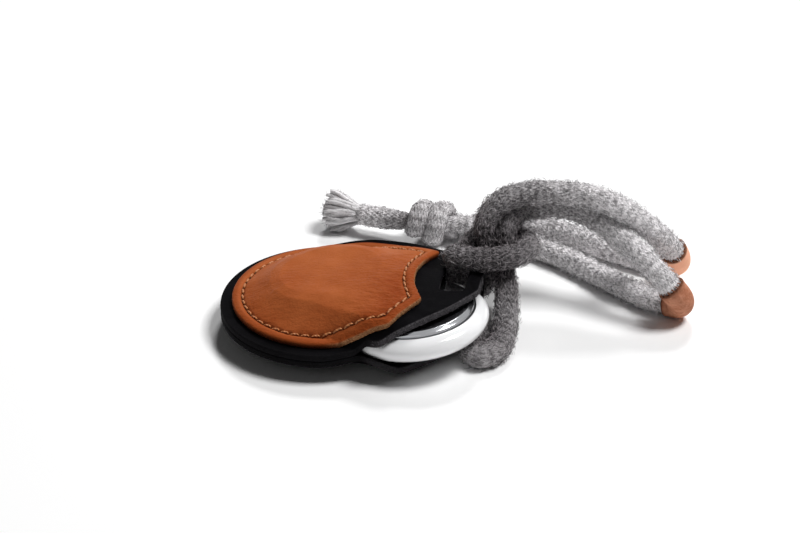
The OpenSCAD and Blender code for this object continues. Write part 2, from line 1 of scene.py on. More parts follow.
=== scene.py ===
"""The dressed model of a sewn leather tag holder with its coin tracker and knotted wool cord.

Shapes are worked out in millimetres as whole arrays and turned into metres when a mesh is made.
X runs along the neck, Y to the far side, Z up from the table.
"""
import math

import bpy
import numpy as np
from mathutils import Matrix

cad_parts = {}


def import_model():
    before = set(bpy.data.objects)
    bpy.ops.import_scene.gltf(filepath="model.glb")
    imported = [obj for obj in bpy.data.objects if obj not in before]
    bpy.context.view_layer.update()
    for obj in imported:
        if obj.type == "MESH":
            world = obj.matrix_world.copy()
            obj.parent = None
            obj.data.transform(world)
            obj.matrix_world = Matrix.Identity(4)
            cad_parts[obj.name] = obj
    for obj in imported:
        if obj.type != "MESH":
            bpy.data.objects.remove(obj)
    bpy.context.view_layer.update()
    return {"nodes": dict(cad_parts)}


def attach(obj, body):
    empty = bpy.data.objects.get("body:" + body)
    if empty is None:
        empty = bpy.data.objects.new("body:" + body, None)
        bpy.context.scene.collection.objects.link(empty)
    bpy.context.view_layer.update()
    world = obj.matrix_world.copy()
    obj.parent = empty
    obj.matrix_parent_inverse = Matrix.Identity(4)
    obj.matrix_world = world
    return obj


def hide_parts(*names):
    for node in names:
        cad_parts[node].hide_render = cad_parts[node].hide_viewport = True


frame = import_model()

MM = 0.001
TAU = 2 * math.pi

# ---------------------------------------------------------------- camera

# Degrees and millimetres; the shift is to the right and up in the picture, the lens in millimetres as usual.
CAMERA_TURN, CAMERA_TILT, CAMERA_AWAY = 8, 30, 450
CAMERA_SHIFT, CAMERA_LENS = (16, 13.2), 91.1


def stand(name, data, directions, at):
    """Puts a camera or lamp at a place in millimetres; its right, up and back point in three directions."""
    made = bpy.data.objects.new(name, data)
    bpy.context.scene.collection.objects.link(made)
    made.matrix_world = Matrix([[*row, e * MM] for row, e in zip(np.stack(directions, 1), at)] + [[0, 0, 0, 1]])
    return made


def place_camera():
    """The camera, turned round the pocket from its near side, tilted down, and shifted in its own plane."""
    turn, tilt = math.radians(CAMERA_TURN), math.radians(CAMERA_TILT)
    back = np.array([math.sin(turn) * math.cos(tilt), -math.cos(turn) * math.cos(tilt), math.sin(tilt)])
    right = np.array([math.cos(turn), math.sin(turn), 0])
    up = np.cross(back, right)
    lens = bpy.data.cameras.new("camera")
    lens.sensor_width, lens.lens = 36, CAMERA_LENS
    lens.clip_start, lens.clip_end = 0.01, 20
    eye = back * CAMERA_AWAY + right * CAMERA_SHIFT[0] + up * CAMERA_SHIFT[1]
    bpy.context.scene.camera = stand("camera", lens, [right, up, back], eye)


place_camera()

# ---------------------------------------------------------------- meshes


def piece(name, points, faces, body, finish, shares=None, stands_for=()):
    """A piece of the part, in millimetres, on its body, in place of the CAD nodes that it stands for.

    shares holds named numbers per point, which the finish reads as attributes."""
    mesh = bpy.data.meshes.new(name)
    mesh.from_pydata((points * MM).tolist(), [], faces)
    for key, values in (shares or {}).items():
        layer = mesh.attributes.new(key, "FLOAT", "POINT")
        layer.data.foreach_set("value", np.ascontiguousarray(values, np.float32).ravel())
    mesh.polygons.foreach_set("use_smooth", np.full(len(mesh.polygons), True))
    mesh.materials.append(finish)
    mesh.update()
    made = bpy.data.objects.new(name, mesh)
    bpy.context.scene.collection.objects.link(made)
    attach(made, body)
    if stands_for:
        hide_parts(*stands_for)
    return made


def quads(rows, columns, loop=False):
    """Faces of a grid that closes round its columns, and round its rows too if loop is set."""
    i = np.arange(rows if loop else rows - 1)[:, None]
    j = np.arange(columns)[None, :]
    n, k = (i + 1) % rows, (j + 1) % columns
    return np.stack([i * columns + j, n * columns + j, n * columns + k, i * columns + k], -1).reshape(-1, 4)


def tubes(rings, ends):
    """Points and faces of many tubes, each closed at both ends by a point of its own."""
    count, steps, columns = rings.shape[:3]
    size, j = steps * columns, np.arange(columns)
    k, last = (j + 1) % columns, size - columns
    lids = np.concatenate([np.stack([0 * j + size, j, k], 1), np.stack([0 * j + size + 1, last + k, last + j], 1)])
    shift = (size + 2) * np.arange(count)[:, None, None]
    points = np.concatenate([rings.reshape(count, size, 3), ends], 1).reshape(-1, 3)
    return points, ((quads(steps, columns) + shift).reshape(-1, 4).tolist()
                    + (lids + shift).reshape(-1, 3).tolist())


def skin(grid, ends=None):
    """Points and faces of a grid of rings, closed at both ends by a point each, or round on itself."""
    if ends is None:
        return grid.reshape(-1, 3), quads(*grid.shape[:2], loop=True).tolist()
    return tubes(grid[None], np.asarray(ends, float)[None])


def length(v):
    """Lengths of the vectors along the last axis."""
    return np.linalg.norm(v, axis=-1)


def unit(v):
    """Vectors of length one along the last axis."""
    return v / np.maximum(length(v)[..., None], 1e-9)


def smooth(t):
    """Rises from 0 to 1 as t does, level at both ends: three t squared less two t cubed."""
    t = np.clip(t, 0, 1)
    return t * t * (3 - 2 * t)


def run_of(line):
    """How far along a line each of its points lies."""
    return np.concatenate([[0], np.cumsum(length(np.diff(line, axis=0)))])


def points_at(where, run, line):
    """The points of a line at some distances along it; further numbers per point are carried along."""
    return np.stack([np.interp(where, run, v) for v in line.T], 1)


def heading(angle):
    """Unit vectors in the plane at angles from X, their X in one row and their Y in the other."""
    return np.stack([np.cos(angle), np.sin(angle)])


def raised(p, height):
    """Points in the plane with their heights added."""
    return np.concatenate([p, height[..., None]], -1)


def ripple(points, size, seed, waves=24):
    """Even random swell: a sum of plane waves of about the given size, with a spread of about one."""
    draw = np.random.default_rng(seed)
    ways = unit(draw.normal(size=(waves, points.shape[-1])))
    counts = TAU / (size * draw.uniform(0.7, 1.4, waves))
    return np.sin(points @ (ways * counts[:, None]).T + draw.uniform(0, TAU, waves)).sum(-1) * math.sqrt(2 / waves)


# ---------------------------------------------------------------- finishes

# Places in millimetres round which shade is painted into the wool, darkest at them.
HITCH, LEG, KNOT_END = (35.0, 11.0, 14.0), (36.0, -6.0, 3.0), (13.0, 41.0, 5.5)


class Wire:
    """The output of a shader node. Each operator adds the Math node that it stands for."""

    def __init__(self, graph, link):
        self.graph, self.link = graph, link

    def maths(self, operation, *others):
        return self.graph.node("ShaderNodeMath", {"operation": operation}, dict(enumerate((self, *others))))

    def __add__(self, other):
        return self.maths("ADD", other)

    def __sub__(self, other):
        return self.maths("SUBTRACT", other)

    def __mul__(self, other):
        return self.maths("MULTIPLY", other)

    def __truediv__(self, other):
        return self.maths("DIVIDE", other)

    def __rsub__(self, other):
        return self.maths("MULTIPLY_ADD", -1.0, other)

    __radd__, __rmul__ = __add__, __mul__


class Graph:
    """A node tree being wired."""

    def __init__(self, tree):
        self.tree = tree
        tree.nodes.clear()

    def feed(self, node, socket, value):
        """Gives a socket a link, a number or a colour."""
        target = node.inputs[socket]
        if isinstance(value, Wire):
            self.tree.links.new(value.link, target)
        elif isinstance(value, tuple) and len(value) == 3 and target.type == "RGBA":
            target.default_value = (*value, 1)
        else:
            target.default_value = value

    def node(self, kind, settings=None, inputs=None, output=0):
        """Adds a node: its settings first, then its sockets."""
        made = self.tree.nodes.new(kind)
        for key, value in (settings or {}).items():
            setattr(made, key, value)
        for key, value in (inputs or {}).items():
            self.feed(made, key, value)
        return Wire(self, made.outputs[output])


class Finish(Graph):
    """A material being wired: one principled surface, and nodes added by name."""

    def __init__(self, name, **constants):
        self.material = bpy.data.materials.new(name)
        self.material.use_nodes = True
        super().__init__(self.material.node_tree)
        self.sheet = self.tree.nodes.new("ShaderNodeBsdfPrincipled")
        output = self.tree.nodes.new("ShaderNodeOutputMaterial")
        self.tree.links.new(self.sheet.outputs[0], output.inputs["Surface"])
        self.places = self.node("ShaderNodeTexCoord", output="Object")
        self.wear(**constants)

    def place(self, scale=1.0, stretch=(1, 1, 1), turn=0.0):
        """Object coordinates in millimetres, times a scale, stretched, and turned round Z."""
        return self.node("ShaderNodeMapping", {}, {"Vector": self.places, "Rotation": (0, 0, turn),
                         "Scale": tuple(1000 * scale * s for s in stretch)})

    def noise(self, size, detail=3.0, rough=0.6, stretch=(1, 1, 1), turn=0.0, source=None):
        """Noise whose lumps are about size millimetres, from 0 to 1."""
        where = source or self.place(1 / size, stretch, turn)
        return self.node("ShaderNodeTexNoise", {}, {"Vector": where, "Scale": 1.0, "Detail": detail,
                         "Roughness": rough}, "Fac")

    def cells(self, size):
        """Round cells about size millimetres across, as the distance from their middles."""
        return self.node("ShaderNodeTexVoronoi", {"feature": "SMOOTH_F1"},
                         {"Vector": self.place(1 / size), "Scale": 1.0}, "Distance")

    def away(self, point):
        """Distance from a point in millimetres."""
        return self.node("ShaderNodeVectorMath", {"operation": "DISTANCE"}, {0: self.place(), 1: point}, "Value")

    def span(self, value, low, high, to_low=0.0, to_high=1.0):
        """Maps a value from one span to another and keeps it inside."""
        return self.node("ShaderNodeMapRange", {}, {"Value": value, "From Min": low, "From Max": high,
                         "To Min": to_low, "To Max": to_high})

    def mix(self, share, first, second):
        """A colour between two colours."""
        return self.node("ShaderNodeMix", {"data_type": "RGBA"}, {0: share, 6: first, 7: second}, 2)

    def share(self, name):
        """A named number that the mesh carries."""
        return self.node("ShaderNodeAttribute", {"attribute_name": name}, output="Fac")

    def bump(self, height, depth):
        """Bends the normal as if the surface stood proud by height times depth millimetres."""
        return self.node("ShaderNodeBump", {}, {"Height": height, "Distance": depth * MM, "Strength": 1.0})

    def wear(self, **values):
        """Feeds the surface's sockets and gives the material back."""
        for key, value in values.items():
            self.feed(self.sheet, key.replace("_", " "), value)
        return self.material


def black_leather():
    """Black leather with a fine pebbled grain, and a grey fibrous cut where the raw share is set."""
    f = Finish("black leather", Specular_IOR_Level=0.006)
    grain, fine = f.cells(0.55), f.noise(0.22)
    worn = f.noise(6)
    raw = f.share("raw")
    fibre = f.noise(0.28, 4.0, 0.7, stretch=(1, 1, 2.2))
    face = f.mix(f.span(worn, 0.35, 0.7), (0.0024, 0.0022, 0.0026), (0.0052, 0.005, 0.0058))
    cut = f.mix(f.span(fibre, 0.36, 0.66), (0.012, 0.011, 0.012), (0.115, 0.108, 0.115))
    height = (grain * 0.9 + fine * 0.6) * (1 - raw) + fibre * raw * 3.2
    return f.wear(Base_Color=f.mix(raw, face, cut), Roughness=f.span(worn, 0.3, 0.7, 0.46, 0.6) + raw * 0.35,
                  Normal=f.bump(height, 0.05))


def tan_leather(name, light, dark, edge):
    """Smooth tan leather: clouded colour, fine pores, creases and a polished or raw edge. Shade is painted where the
    near share is set, a little deeper in the creases there, and light where it is below 0; the hole share paints shade
    into the stitch holes and darkens the cut side low down.
    """
    f = Finish(name, Specular_IOR_Level=0.02)
    clouds = f.noise(9, 4.0, 0.62)
    pores, fine = f.cells(0.42), f.noise(0.2, 3.0, 0.65)
    crease = f.noise(1.5, stretch=(0.55, 1.5, 1), turn=math.radians(52))
    near, raw = f.share("near"), f.share("raw")
    fibre = f.noise(0.25, 4.0, 0.7, stretch=(1, 1, 1.8))
    # painted shade: the near share darkens, a little more in its creases, and lightens where it is below 0
    tone = clouds * 0.55 + f.span(pores, 0.1, 0.8) * 0.1 + near * 0.3 + f.span(crease, 0.62, 0.4) * near * 0.1
    face = f.mix(f.share("rim") * 0.8, f.mix(f.span(tone, 0.2, 0.85), light, dark), edge)
    cut = f.mix(f.span(fibre, 0.35, 0.68), tuple(c * 0.4 for c in dark), (0.62, 0.33, 0.16))
    # painted shade in the stitch holes, and the cut side darker low down, from one share
    colour = f.mix(f.share("holes") * 0.85, f.mix(raw, face, cut), (0.02, 0.006, 0.003))
    folds = f.span(crease, 0.38, 0.6) * near
    height = pores * 0.9 + fine * 0.5 + folds * 2.6 + fibre * raw * 3.6
    return f.wear(Base_Color=colour, Roughness=f.span(clouds, 0.3, 0.7, 0.42, 0.52) + raw * 0.35,
                  Normal=f.bump(height, 0.055))


def wool_painted_light(f):
    """Two shares of painted light: painted shade, 0 at the hitch, its leg and the end of the knot to 1 far from them,
    and painted light, 0 to 1 along X.
    """
    # painted shade: from the distance to the hitch, to its leg and to the end of the knot
    dark = f.away(HITCH).maths("MINIMUM", f.away(LEG) + 5).maths("MINIMUM", f.away(KNOT_END) * 2.2 + 9)
    # painted light: grows along X from 36 to 66 mm
    across = f.node("ShaderNodeSeparateXYZ", {}, {"Vector": f.place()})
    return f.span(dark, 5, 28), f.span(across, 36, 66)


def wool():
    """Felted heather wool: dark and light hairs over a knitted tube, with shade painted round the hitch, its leg and
    the end of the knot, and light painted stronger to the right.
    """
    f = Finish("felted wool", Roughness=0.95, Specular_IOR_Level=0.05, Sheen_Weight=0.1, Sheen_Roughness=0.6)
    along, columns = f.share("along"), f.share("round") * 9
    bend = (columns.maths("FRACT") - 0.5).maths("ABSOLUTE")
    lay = f.node("ShaderNodeCombineXYZ", {}, {0: (along + bend * 1.5) / 0.55, 1: columns * 5.5, 2: along * 0.11})
    strands = f.noise(1, 3.0, 0.65, source=lay)
    loops = f.span(((along + bend * 1.6) * (TAU / 1.7)).maths("SINE"), -1, 1)
    cloud, fluff = f.noise(3.5), f.noise(0.42, 3.0, 0.7)
    out_of_painted_shade, painted_light_right = wool_painted_light(f)
    # painted light: a little lighter to the right
    tone = strands * 0.55 + fluff * 0.45 + (cloud - 0.5) * 0.25 + (loops - 0.5) * 0.12 + painted_light_right * 0.05
    # in the painted shade both colours fall to nearly black
    dark = f.mix(out_of_painted_shade, (0.004, 0.0034, 0.0036), (0.36, 0.342, 0.35))
    light = f.mix(out_of_painted_shade, (0.13, 0.115, 0.12), (0.98, 0.95, 0.965))
    return f.wear(Base_Color=f.mix(f.span(tone, 0.41, 0.58), dark, light),
                  Normal=f.bump(strands * 0.6 + fluff * 0.8 + loops * 0.8, 0.16))


def wool_hairs():
    """Loose hairs of the wool, each light or dark by its own share, with the wool's painted shade and painted light."""
    f = Finish("wool hairs", Roughness=0.9, Specular_IOR_Level=0.1)
    out_of_painted_shade, painted_light_right = wool_painted_light(f)
    # in the painted shade the hairs fall to nearly black
    dark = f.mix(out_of_painted_shade, (0.006, 0.005, 0.005), (0.22, 0.207, 0.213))
    light = f.mix(out_of_painted_shade, (0.4, 0.36, 0.375), (0.99, 0.97, 0.98))
    fluff = f.noise(0.3, 3.0, 0.7)
    # painted light: the hairs lighter to the right
    tone = f.span(f.share("tone") + (fluff - 0.5) * 0.6 + painted_light_right * 0.2, 0.0, 1.0)
    return f.wear(Base_Color=f.mix(tone, dark, light), Normal=f.bump(fluff, 0.1))


def cut_fibres():
    """Short grey fibres that stand out of a cut of black leather."""
    f = Finish("cut fibres", Roughness=0.95, Specular_IOR_Level=0.1)
    return f.wear(Base_Color=f.mix(f.share("tone"), (0.012, 0.011, 0.012), (0.16, 0.15, 0.16)))


def thread(name, light, dark):
    """Waxed thread of two twisted plies."""
    f = Finish(name, Specular_IOR_Level=0.4, Roughness=0.45)
    ply = f.span(f.share("twist").maths("SINE"), -1, 1)
    fluff = f.noise(0.15, 2.0, 0.5)
    return f.wear(Base_Color=f.mix(f.span(ply * 0.7 + fluff * 0.4, 0.15, 0.95), dark, light),
                  Normal=f.bump(ply + fluff * 0.3, 0.1))


def glossy_white():
    """Polished white plastic with the faintest swell."""
    f = Finish("white plastic", Roughness=0.14, Coat_Weight=0.6, Coat_Roughness=0.04, Specular_IOR_Level=0.5)
    swell = f.noise(14, 2.0, 0.5)
    return f.wear(Base_Color=f.mix(swell, (0.86, 0.86, 0.872), (0.9, 0.9, 0.908)), Normal=f.bump(swell, 0.01))


def polished_steel():
    """Polished steel with fine rubbed marks; its colours are kept dark, painted shade for the shadow and dark leather
    mirrored in it.
    """
    f = Finish("polished steel", Metallic=1.0)
    rubbed = f.noise(0.6, 4.0, stretch=(1, 0.12, 1), turn=0.5)
    # painted shade: colours well below polished steel's, for its dark reflections
    return f.wear(Base_Color=f.mix(f.noise(5, 3.0, 0.5), (0.26, 0.265, 0.275), (0.36, 0.365, 0.38)),
                  Roughness=f.span(rubbed, 0.3, 0.7, 0.1, 0.2), Normal=f.bump(rubbed, 0.002))


def plain_finish(name, first, second, rough, metal):
    """Inner parts: two close colours, clouded, with a slight unevenness."""
    f = Finish(name, Metallic=metal)
    cloud = f.noise(1.2)
    return f.wear(Base_Color=f.mix(cloud, first, second), Roughness=f.span(cloud, 0.3, 0.7, rough - 0.05, rough + 0.05),
                  Normal=f.bump(cloud, 0.01))


BLACK = black_leather()
TAN = tan_leather("tan leather", (0.435, 0.12, 0.036), (0.25, 0.045, 0.0095), (0.27, 0.056, 0.013))
SLEEVE_TAN = tan_leather("sleeve leather", (0.9, 0.46, 0.3), (0.38, 0.14, 0.075), (0.055, 0.016, 0.007))
WOOL = wool()
HAIRS = wool_hairs()
THREAD = thread("patch thread", (0.56, 0.215, 0.07), (0.34, 0.11, 0.03))
SLEEVE_THREAD = thread("sleeve thread", (0.3, 0.1, 0.035), (0.1, 0.03, 0.01))
WHITE = glossy_white()
STEEL = polished_steel()

# ---------------------------------------------------------------- the cord

CORD_RADIUS, CORD_STEP, CORD_LUMPS = 2.5, 0.5, 0.05
RING, SLEEVE_RING, YARNS = 36, 48, 84        # points round a cord and a sleeve, and yarns of the frayed end


def full_rows(points):
    """Route points, each with how far the section is squeezed along X, Y and Z, or not at all if that is left out."""
    return np.array([[*p, 1, 1, 1][:6] for p in points], float)


BIGHT = full_rows([
    [26.6, 10.35, 7.6, 0.52, 0.95, 0.9], [26.6, 10.35, 10.4, 0.52, 0.95, 0.9], [26.6, 9.6, 13.5, 0.56, 0.9, 0.9],
    [26.5, 7.8, 15.5, 0.8, 0.85, 0.9], [30.8, 6.5, 16, 1, 0.86, 0.95], [35.9, 6.8, 16.1, 1, 0.86, 1],
    [40.6, 8.8, 16.3, 0.9, 0.9, 1], [43.1, 13, 16.2, 0.9, 1, 1], [41, 17.8, 15.2, 0.9, 0.9, 1],
    [35.8, 19.1, 15, 1, 0.86, 0.95], [31.5, 17.5, 15.1, 0.9, 0.86, 0.9], [29.4, 13.1, 15.4, 0.6, 0.8, 0.9],
    [29.4, 10.8, 13.4, 0.52, 0.85, 0.9], [29.4, 10.35, 10.4, 0.52, 0.95, 0.9], [29.4, 10.35, 7.6, 0.52, 0.95, 0.9]])
NEAR = full_rows([
    [26.6, 10.35, 7.6, 0.52, 0.95, 0.9], [26.6, 10.35, 5.9, 0.52, 0.95, 0.8], [26.9, 8.5, 3.2, 0.62, 0.8, 0.7],
    [30.4, 5.8, 1.7, 0.9, 0.84, 0.6], [32.8, 2.2, 1.5, 1, 1, 0.6], [33.8, -2.3, 1.4, 1.05, 1.05, 0.56],
    [33.3, -6.8, 1.3, 1.05, 1, 0.52], [33.2, -10.5, 2.6, 0.9, 0.9, 0.92], [35, -12, 2.6], [38, -9.6, 2.5],
    [39.3, -5.3, 2.6], [39.6, -1, 3.6], [39.4, 3.4, 5.8], [38.8, 7.4, 8.8, 0.92, 0.92, 0.92],
    [38, 11, 11.9, 0.84, 0.84, 0.9], [37.7, 12.8, 15.7, 0.8, 0.84, 1], [38, 15.7, 19.3, 0.86, 0.88, 1],
    [40.4, 20.3, 21.3], [45, 22.2, 21.7], [51, 22.6, 21.6], [58.4, 19.6, 20.2], [65.4, 15.6, 16.8], [71.6, 12, 12.6],
    [75, 10.9, 9.4], [76.9, 11.8, 6.4], [76.8, 14, 3.8], [74.5, 15.6, 3.1], [71.4, 16.6, 2.8], [61, 24.3, 2.5],
    [50, 33.2, 2.5], [41, 38.2, 2.5], [32.5, 40.2, 3.6, 1, 0.95, 0.95], [27.4, 40.6, 5.4, 1, 0.8, 0.8],
    [24.2, 40.6, 5.4, 1, 0.74, 0.74]])
FAR = full_rows([
    [29.4, 10.35, 7.6, 0.52, 0.95, 0.9], [29.4, 10.35, 5.9, 0.52, 0.95, 0.8], [30.5, 12.3, 4.3, 0.74, 0.8, 0.75],
    [32.8, 14.2, 4.4, 0.8, 0.85, 0.8], [34.5, 15.1, 6.8, 0.74, 0.8, 0.8], [35, 15, 10.4, 0.66, 0.8, 0.9],
    [34.4, 14.2, 13.8, 0.64, 0.84, 0.9], [33.6, 13.1, 16.5, 0.66, 0.84, 1], [32.9, 13.8, 20.1, 0.86, 0.88, 1],
    [35.6, 16.6, 24.4], [41, 18.4, 26.5], [48.5, 18.8, 27.1], [56, 19.4, 26.3], [63, 19, 24], [69.2, 21, 18.6],
    [73, 24, 13.6], [74.9, 26.6, 10.2], [75.9, 29.2, 6.9], [75.6, 31.8, 4.2], [73.4, 33.2, 3.1], [70.4, 33.8, 2.8],
    [60, 38.4, 2.5], [50.6, 44.4, 2.5], [43.6, 47.4, 2.5], [36, 47.4, 2.6, 1, 0.95, 1], [30, 45.8, 2.8, 1, 0.9, 0.95],
    [25.4, 44.8, 3.1, 1, 0.84, 0.84], [22, 44.1, 3.6, 0.9, 0.74, 0.74]])
TAIL = full_rows([
    [18.4, 40.6, 5.4, 1, 0.74, 0.74], [12, 40.8, 5.4, 1, 0.76, 0.76], [7.4, 41.6, 5.2, 1, 0.96, 0.96],
    [0.6, 43.2, 5]])


def route(rows, step):
    """A smooth line through the rows, even in length, with the rows' other numbers carried along.

    Between two rows each number is the cubic that has their values and the slopes of its neighbours,
    over a parameter that grows with the square root of the distance."""
    knots = np.concatenate([[0], np.cumsum(np.sqrt(length(np.diff(rows[:, :3], axis=0))))])
    gaps, slopes = np.diff(knots)[:, None], np.diff(rows, axis=0) / np.diff(knots)[:, None]
    ties = (slopes[:-1] * gaps[1:] + slopes[1:] * gaps[:-1]) / (gaps[1:] + gaps[:-1])
    ties = np.concatenate([slopes[:1], ties, slopes[-1:]])
    fine = np.linspace(0, knots[-1], 60 * len(rows))
    k = np.clip(np.searchsorted(knots, fine, "right") - 1, 0, len(rows) - 2)
    g = gaps[k]
    t = ((fine - knots[k]) / g[:, 0])[:, None]
    values = ((1 + 2 * t) * (1 - t) ** 2 * rows[k] + t * (1 - t) ** 2 * g * ties[k]
              + t * t * (3 - 2 * t) * rows[k + 1] + t * t * (t - 1) * g * ties[k + 1])
    run = run_of(values[:, :3])
    even = np.linspace(0, run[-1], max(8, int(round(run[-1] / step)) + 1))
    return points_at(even, run, values), even


def frames(line):
    """Two directions square to a line at each of its points, which turn as little as they can."""
    ways = unit(np.gradient(line, axis=0))
    side, sides = np.array([0.31, 0.87, 0.38]), []
    for way in ways:
        side = unit(side - way * np.dot(side, way))
        sides.append(side)
    sides = np.array(sides)
    return sides, np.cross(ways, sides)


def wool_lay(run, count):
    """The shares that the wool reads: how far along the cord, and how far round it from one side."""
    turns = np.abs(np.arange(count) / count * 2 - 1)
    return {"along": np.append(np.repeat(run, count), (run[0], run[-1])),
            "round": np.append(np.tile(turns, len(run)), (0, 0))}


def tube(line, squeeze, radius, columns=RING, lumps=0.0, seed=1):
    """Rings round a line: a circle of the radius, squeezed along the world's axes, with soft lumps."""
    first, second = frames(line)
    angle = -TAU * np.arange(columns)[:, None] / columns
    out = np.cos(angle) * first[:, None] + np.sin(angle) * second[:, None]
    grid = line[:, None] + out * np.reshape(radius, (-1, 1, 1)) * squeeze[:, None]
    if lumps:
        grid = grid + out * lumps * (ripple(grid, 1.6, seed) + 0.7 * ripple(grid, 0.8, seed + 1))[..., None]
    grid[..., 2] = np.maximum(grid[..., 2], 0)
    return grid


def cord_piece(name, rows, nodes, seed):
    """A stretch of cord along its route. Also gives its line, squeeze, rings and length."""
    values, run = route(rows, CORD_STEP)
    line, squeeze = values[:, :3], values[:, 3:]
    grid = tube(line, squeeze, CORD_RADIUS, lumps=CORD_LUMPS, seed=seed)
    made = piece(name, *skin(grid, line[[0, -1]]), "holder", WOOL, wool_lay(run, RING), nodes)
    return made, line, squeeze, grid, run[-1]


def hairs(name, grids, count, seed, long=(0.6, 1.7), lift=0.6, thick=0.065, finish=HAIRS):
    """Loose hairs lying over a surface: each bends from a root a little way out to a free tip.

    A hair is two rings of three points between two end points, drawn at seeded places on the grids."""
    draw = np.random.default_rng(seed)
    roots, outs, alongs = [], [], []
    for grid in grids:
        way = np.gradient(grid, axis=0)
        out = unit(np.cross(np.roll(grid, -1, 1) - np.roll(grid, 1, 1), way))
        out = out * np.sign((out * (grid - grid.mean(1, keepdims=True))).sum(-1, keepdims=True))
        for found, values in zip((roots, outs, alongs), (grid, out, unit(way))):
            found.append(values.reshape(-1, 3))
    roots, outs, alongs = map(np.concatenate, (roots, outs, alongs))
    pick = draw.integers(0, len(roots), count)
    root, out, along = roots[pick], outs[pick], alongs[pick]
    across = np.cross(out, along)
    angle = draw.normal(0, 0.75, count)[:, None] + math.pi * draw.integers(0, 2, count)[:, None]
    way = np.cos(angle) * along + np.sin(angle) * across
    side = unit(np.cross(way, out))
    size = draw.uniform(*long, count)[:, None]
    rise = lift * draw.uniform(0.1, 1, count)[:, None] ** 2 * size * out
    root = root + along * draw.uniform(-0.25, 0.25, (count, 1)) + across * draw.uniform(-0.2, 0.2, (count, 1))
    curl = side * draw.normal(0, 0.22, (count, 1)) * size
    ends = np.stack([root - out * 0.06, root + way * size + rise * 0.9 + curl * 1.1], 1)
    middles = np.stack([root + way * size * 0.4 + rise * 0.7 + curl * 0.6,
                        root + way * size * 0.75 + rise * 0.95 + curl], 1)
    wide = thick * draw.uniform(0.7, 1.3, (count, 1, 1, 1)) * np.array([1, 0.7])[:, None, None]
    ring = np.stack([math.cos(TAU * k / 3) * out + math.sin(TAU * k / 3) * side for k in (2, 1, 0)], 1)
    points, faces = tubes(middles[:, :, None] + ring[:, None] * wide, ends)
    points[:, 2] = np.maximum(points[:, 2], 0.02)
    tone = draw.uniform(0, 1, count)
    tone = np.repeat(np.where(tone < 0.45, tone * 0.5, 0.55 + 0.45 * tone), 8)
    made = piece(name, points, faces, "holder", finish, {"tone": tone})
    return made


cord_bight, bight_line, _, bight_grid, bight_long = cord_piece("cord_bight", BIGHT, ["cord_bight"], 11)
cord_near, near_line, near_squeeze, near_grid, near_long = cord_piece(
    "cord_near", np.concatenate([NEAR, TAIL]), ["cord_near", "cord_tail"], 13)
cord_far, far_line, far_squeeze, far_grid, far_long = cord_piece("cord_far", FAR, ["cord_far"], 17)


KNOT_MIDDLE = np.array([23.6, 40.6, 5.4])


def knot():
    """The winding: a helix round the near strand, its section flat against it, its ends tucked in."""
    pitch, turns, radius, start = 4.5, 1.75, 3.7, math.radians(-60)
    thick, wide = 1.68, 2.35
    share = np.linspace(-0.03, 1.05, 110)
    angle = start + TAU * turns * share
    out = np.stack([0 * angle, np.cos(angle), np.sin(angle)], 1)
    tuck = smooth((share - 0.93) / 0.12) * 1.5
    line = KNOT_MIDDLE + out * (radius - tuck)[:, None]
    line[:, 0] += 0.6 - pitch * (0.46 + turns * share)
    ends = (1 - 0.3 * smooth((share - 0.95) / 0.1) - 0.2 * smooth((0.02 - share) / 0.05))[:, None, None]
    b = TAU * np.arange(RING)[None, :, None] / RING
    grid = line[:, None] + ends * (thick * np.cos(b) * out[:, None] + wide * np.sin(b) * np.array([1.0, 0, 0]))
    grid = grid + out[:, None] * 0.05 * ripple(grid, 1.4, 5)[..., None]
    made = piece("cord_knot", *skin(grid, line[[0, -1]]), "holder", WOOL, wool_lay(run_of(line), RING), ["cord_knot"])
    return made, grid


cord_knot, knot_grid = knot()


def frayed_end():
    """The loose end: many thin yarns that leave the cord together and spread to a brush."""
    draw = np.random.default_rng(29)
    count, steps, columns = YARNS, 10, 7
    along = unit(np.array([-0.972, 0.23, -0.03]))
    side = unit(np.array([0, 1, 0]) - along * along[1])
    up = np.cross(along, side)
    spot = np.sqrt(draw.uniform(0, 1, count))[:, None]
    angle = draw.uniform(0, TAU, count)[:, None]
    reach = draw.uniform(7.6, 9.4, count)[:, None] - 1.1 * spot ** 2
    t = np.linspace(0, 1, steps)[None]
    spread = 1.9 + 2.55 * smooth(t * 1.1) - 0.25 * np.exp(-((t - 0.12) / 0.1) ** 2)
    wave = draw.uniform(0, TAU, (count, 1)) + 5 * t * draw.uniform(0.5, 1.4, (count, 1))
    x = -1.2 + t * (reach + 1.2)
    y = spread * spot * np.cos(angle) + 0.42 * t * np.sin(wave)
    z = spread * spot * np.sin(angle) * 0.98 + 0.42 * t * np.cos(wave)
    line = TAIL[-1, :3] + x[..., None] * along + y[..., None] * side + z[..., None] * up
    line[..., 2] = np.maximum(line[..., 2], 0.7)
    thick = draw.uniform(0.42, 0.6, (count, 1)) * (0.75 + 0.4 * t - 0.5 * np.maximum(t - 0.85, 0) / 0.15 * 0.5)
    b = -TAU * np.arange(columns)[:, None] / columns
    rings = line[:, :, None] + thick[..., None, None] * (np.cos(b) * side + np.sin(b) * up)
    points, faces = tubes(rings, np.stack([line[:, 0], line[:, -1] + along * 0.15], 1))
    shade = np.repeat(draw.uniform(0.35, 0.95, count), steps * columns + 2)
    return piece("frayed_end", points, faces, "holder", HAIRS, {"tone": shade}, ["frayed_end"]), rings


frayed, fray_rings = frayed_end()


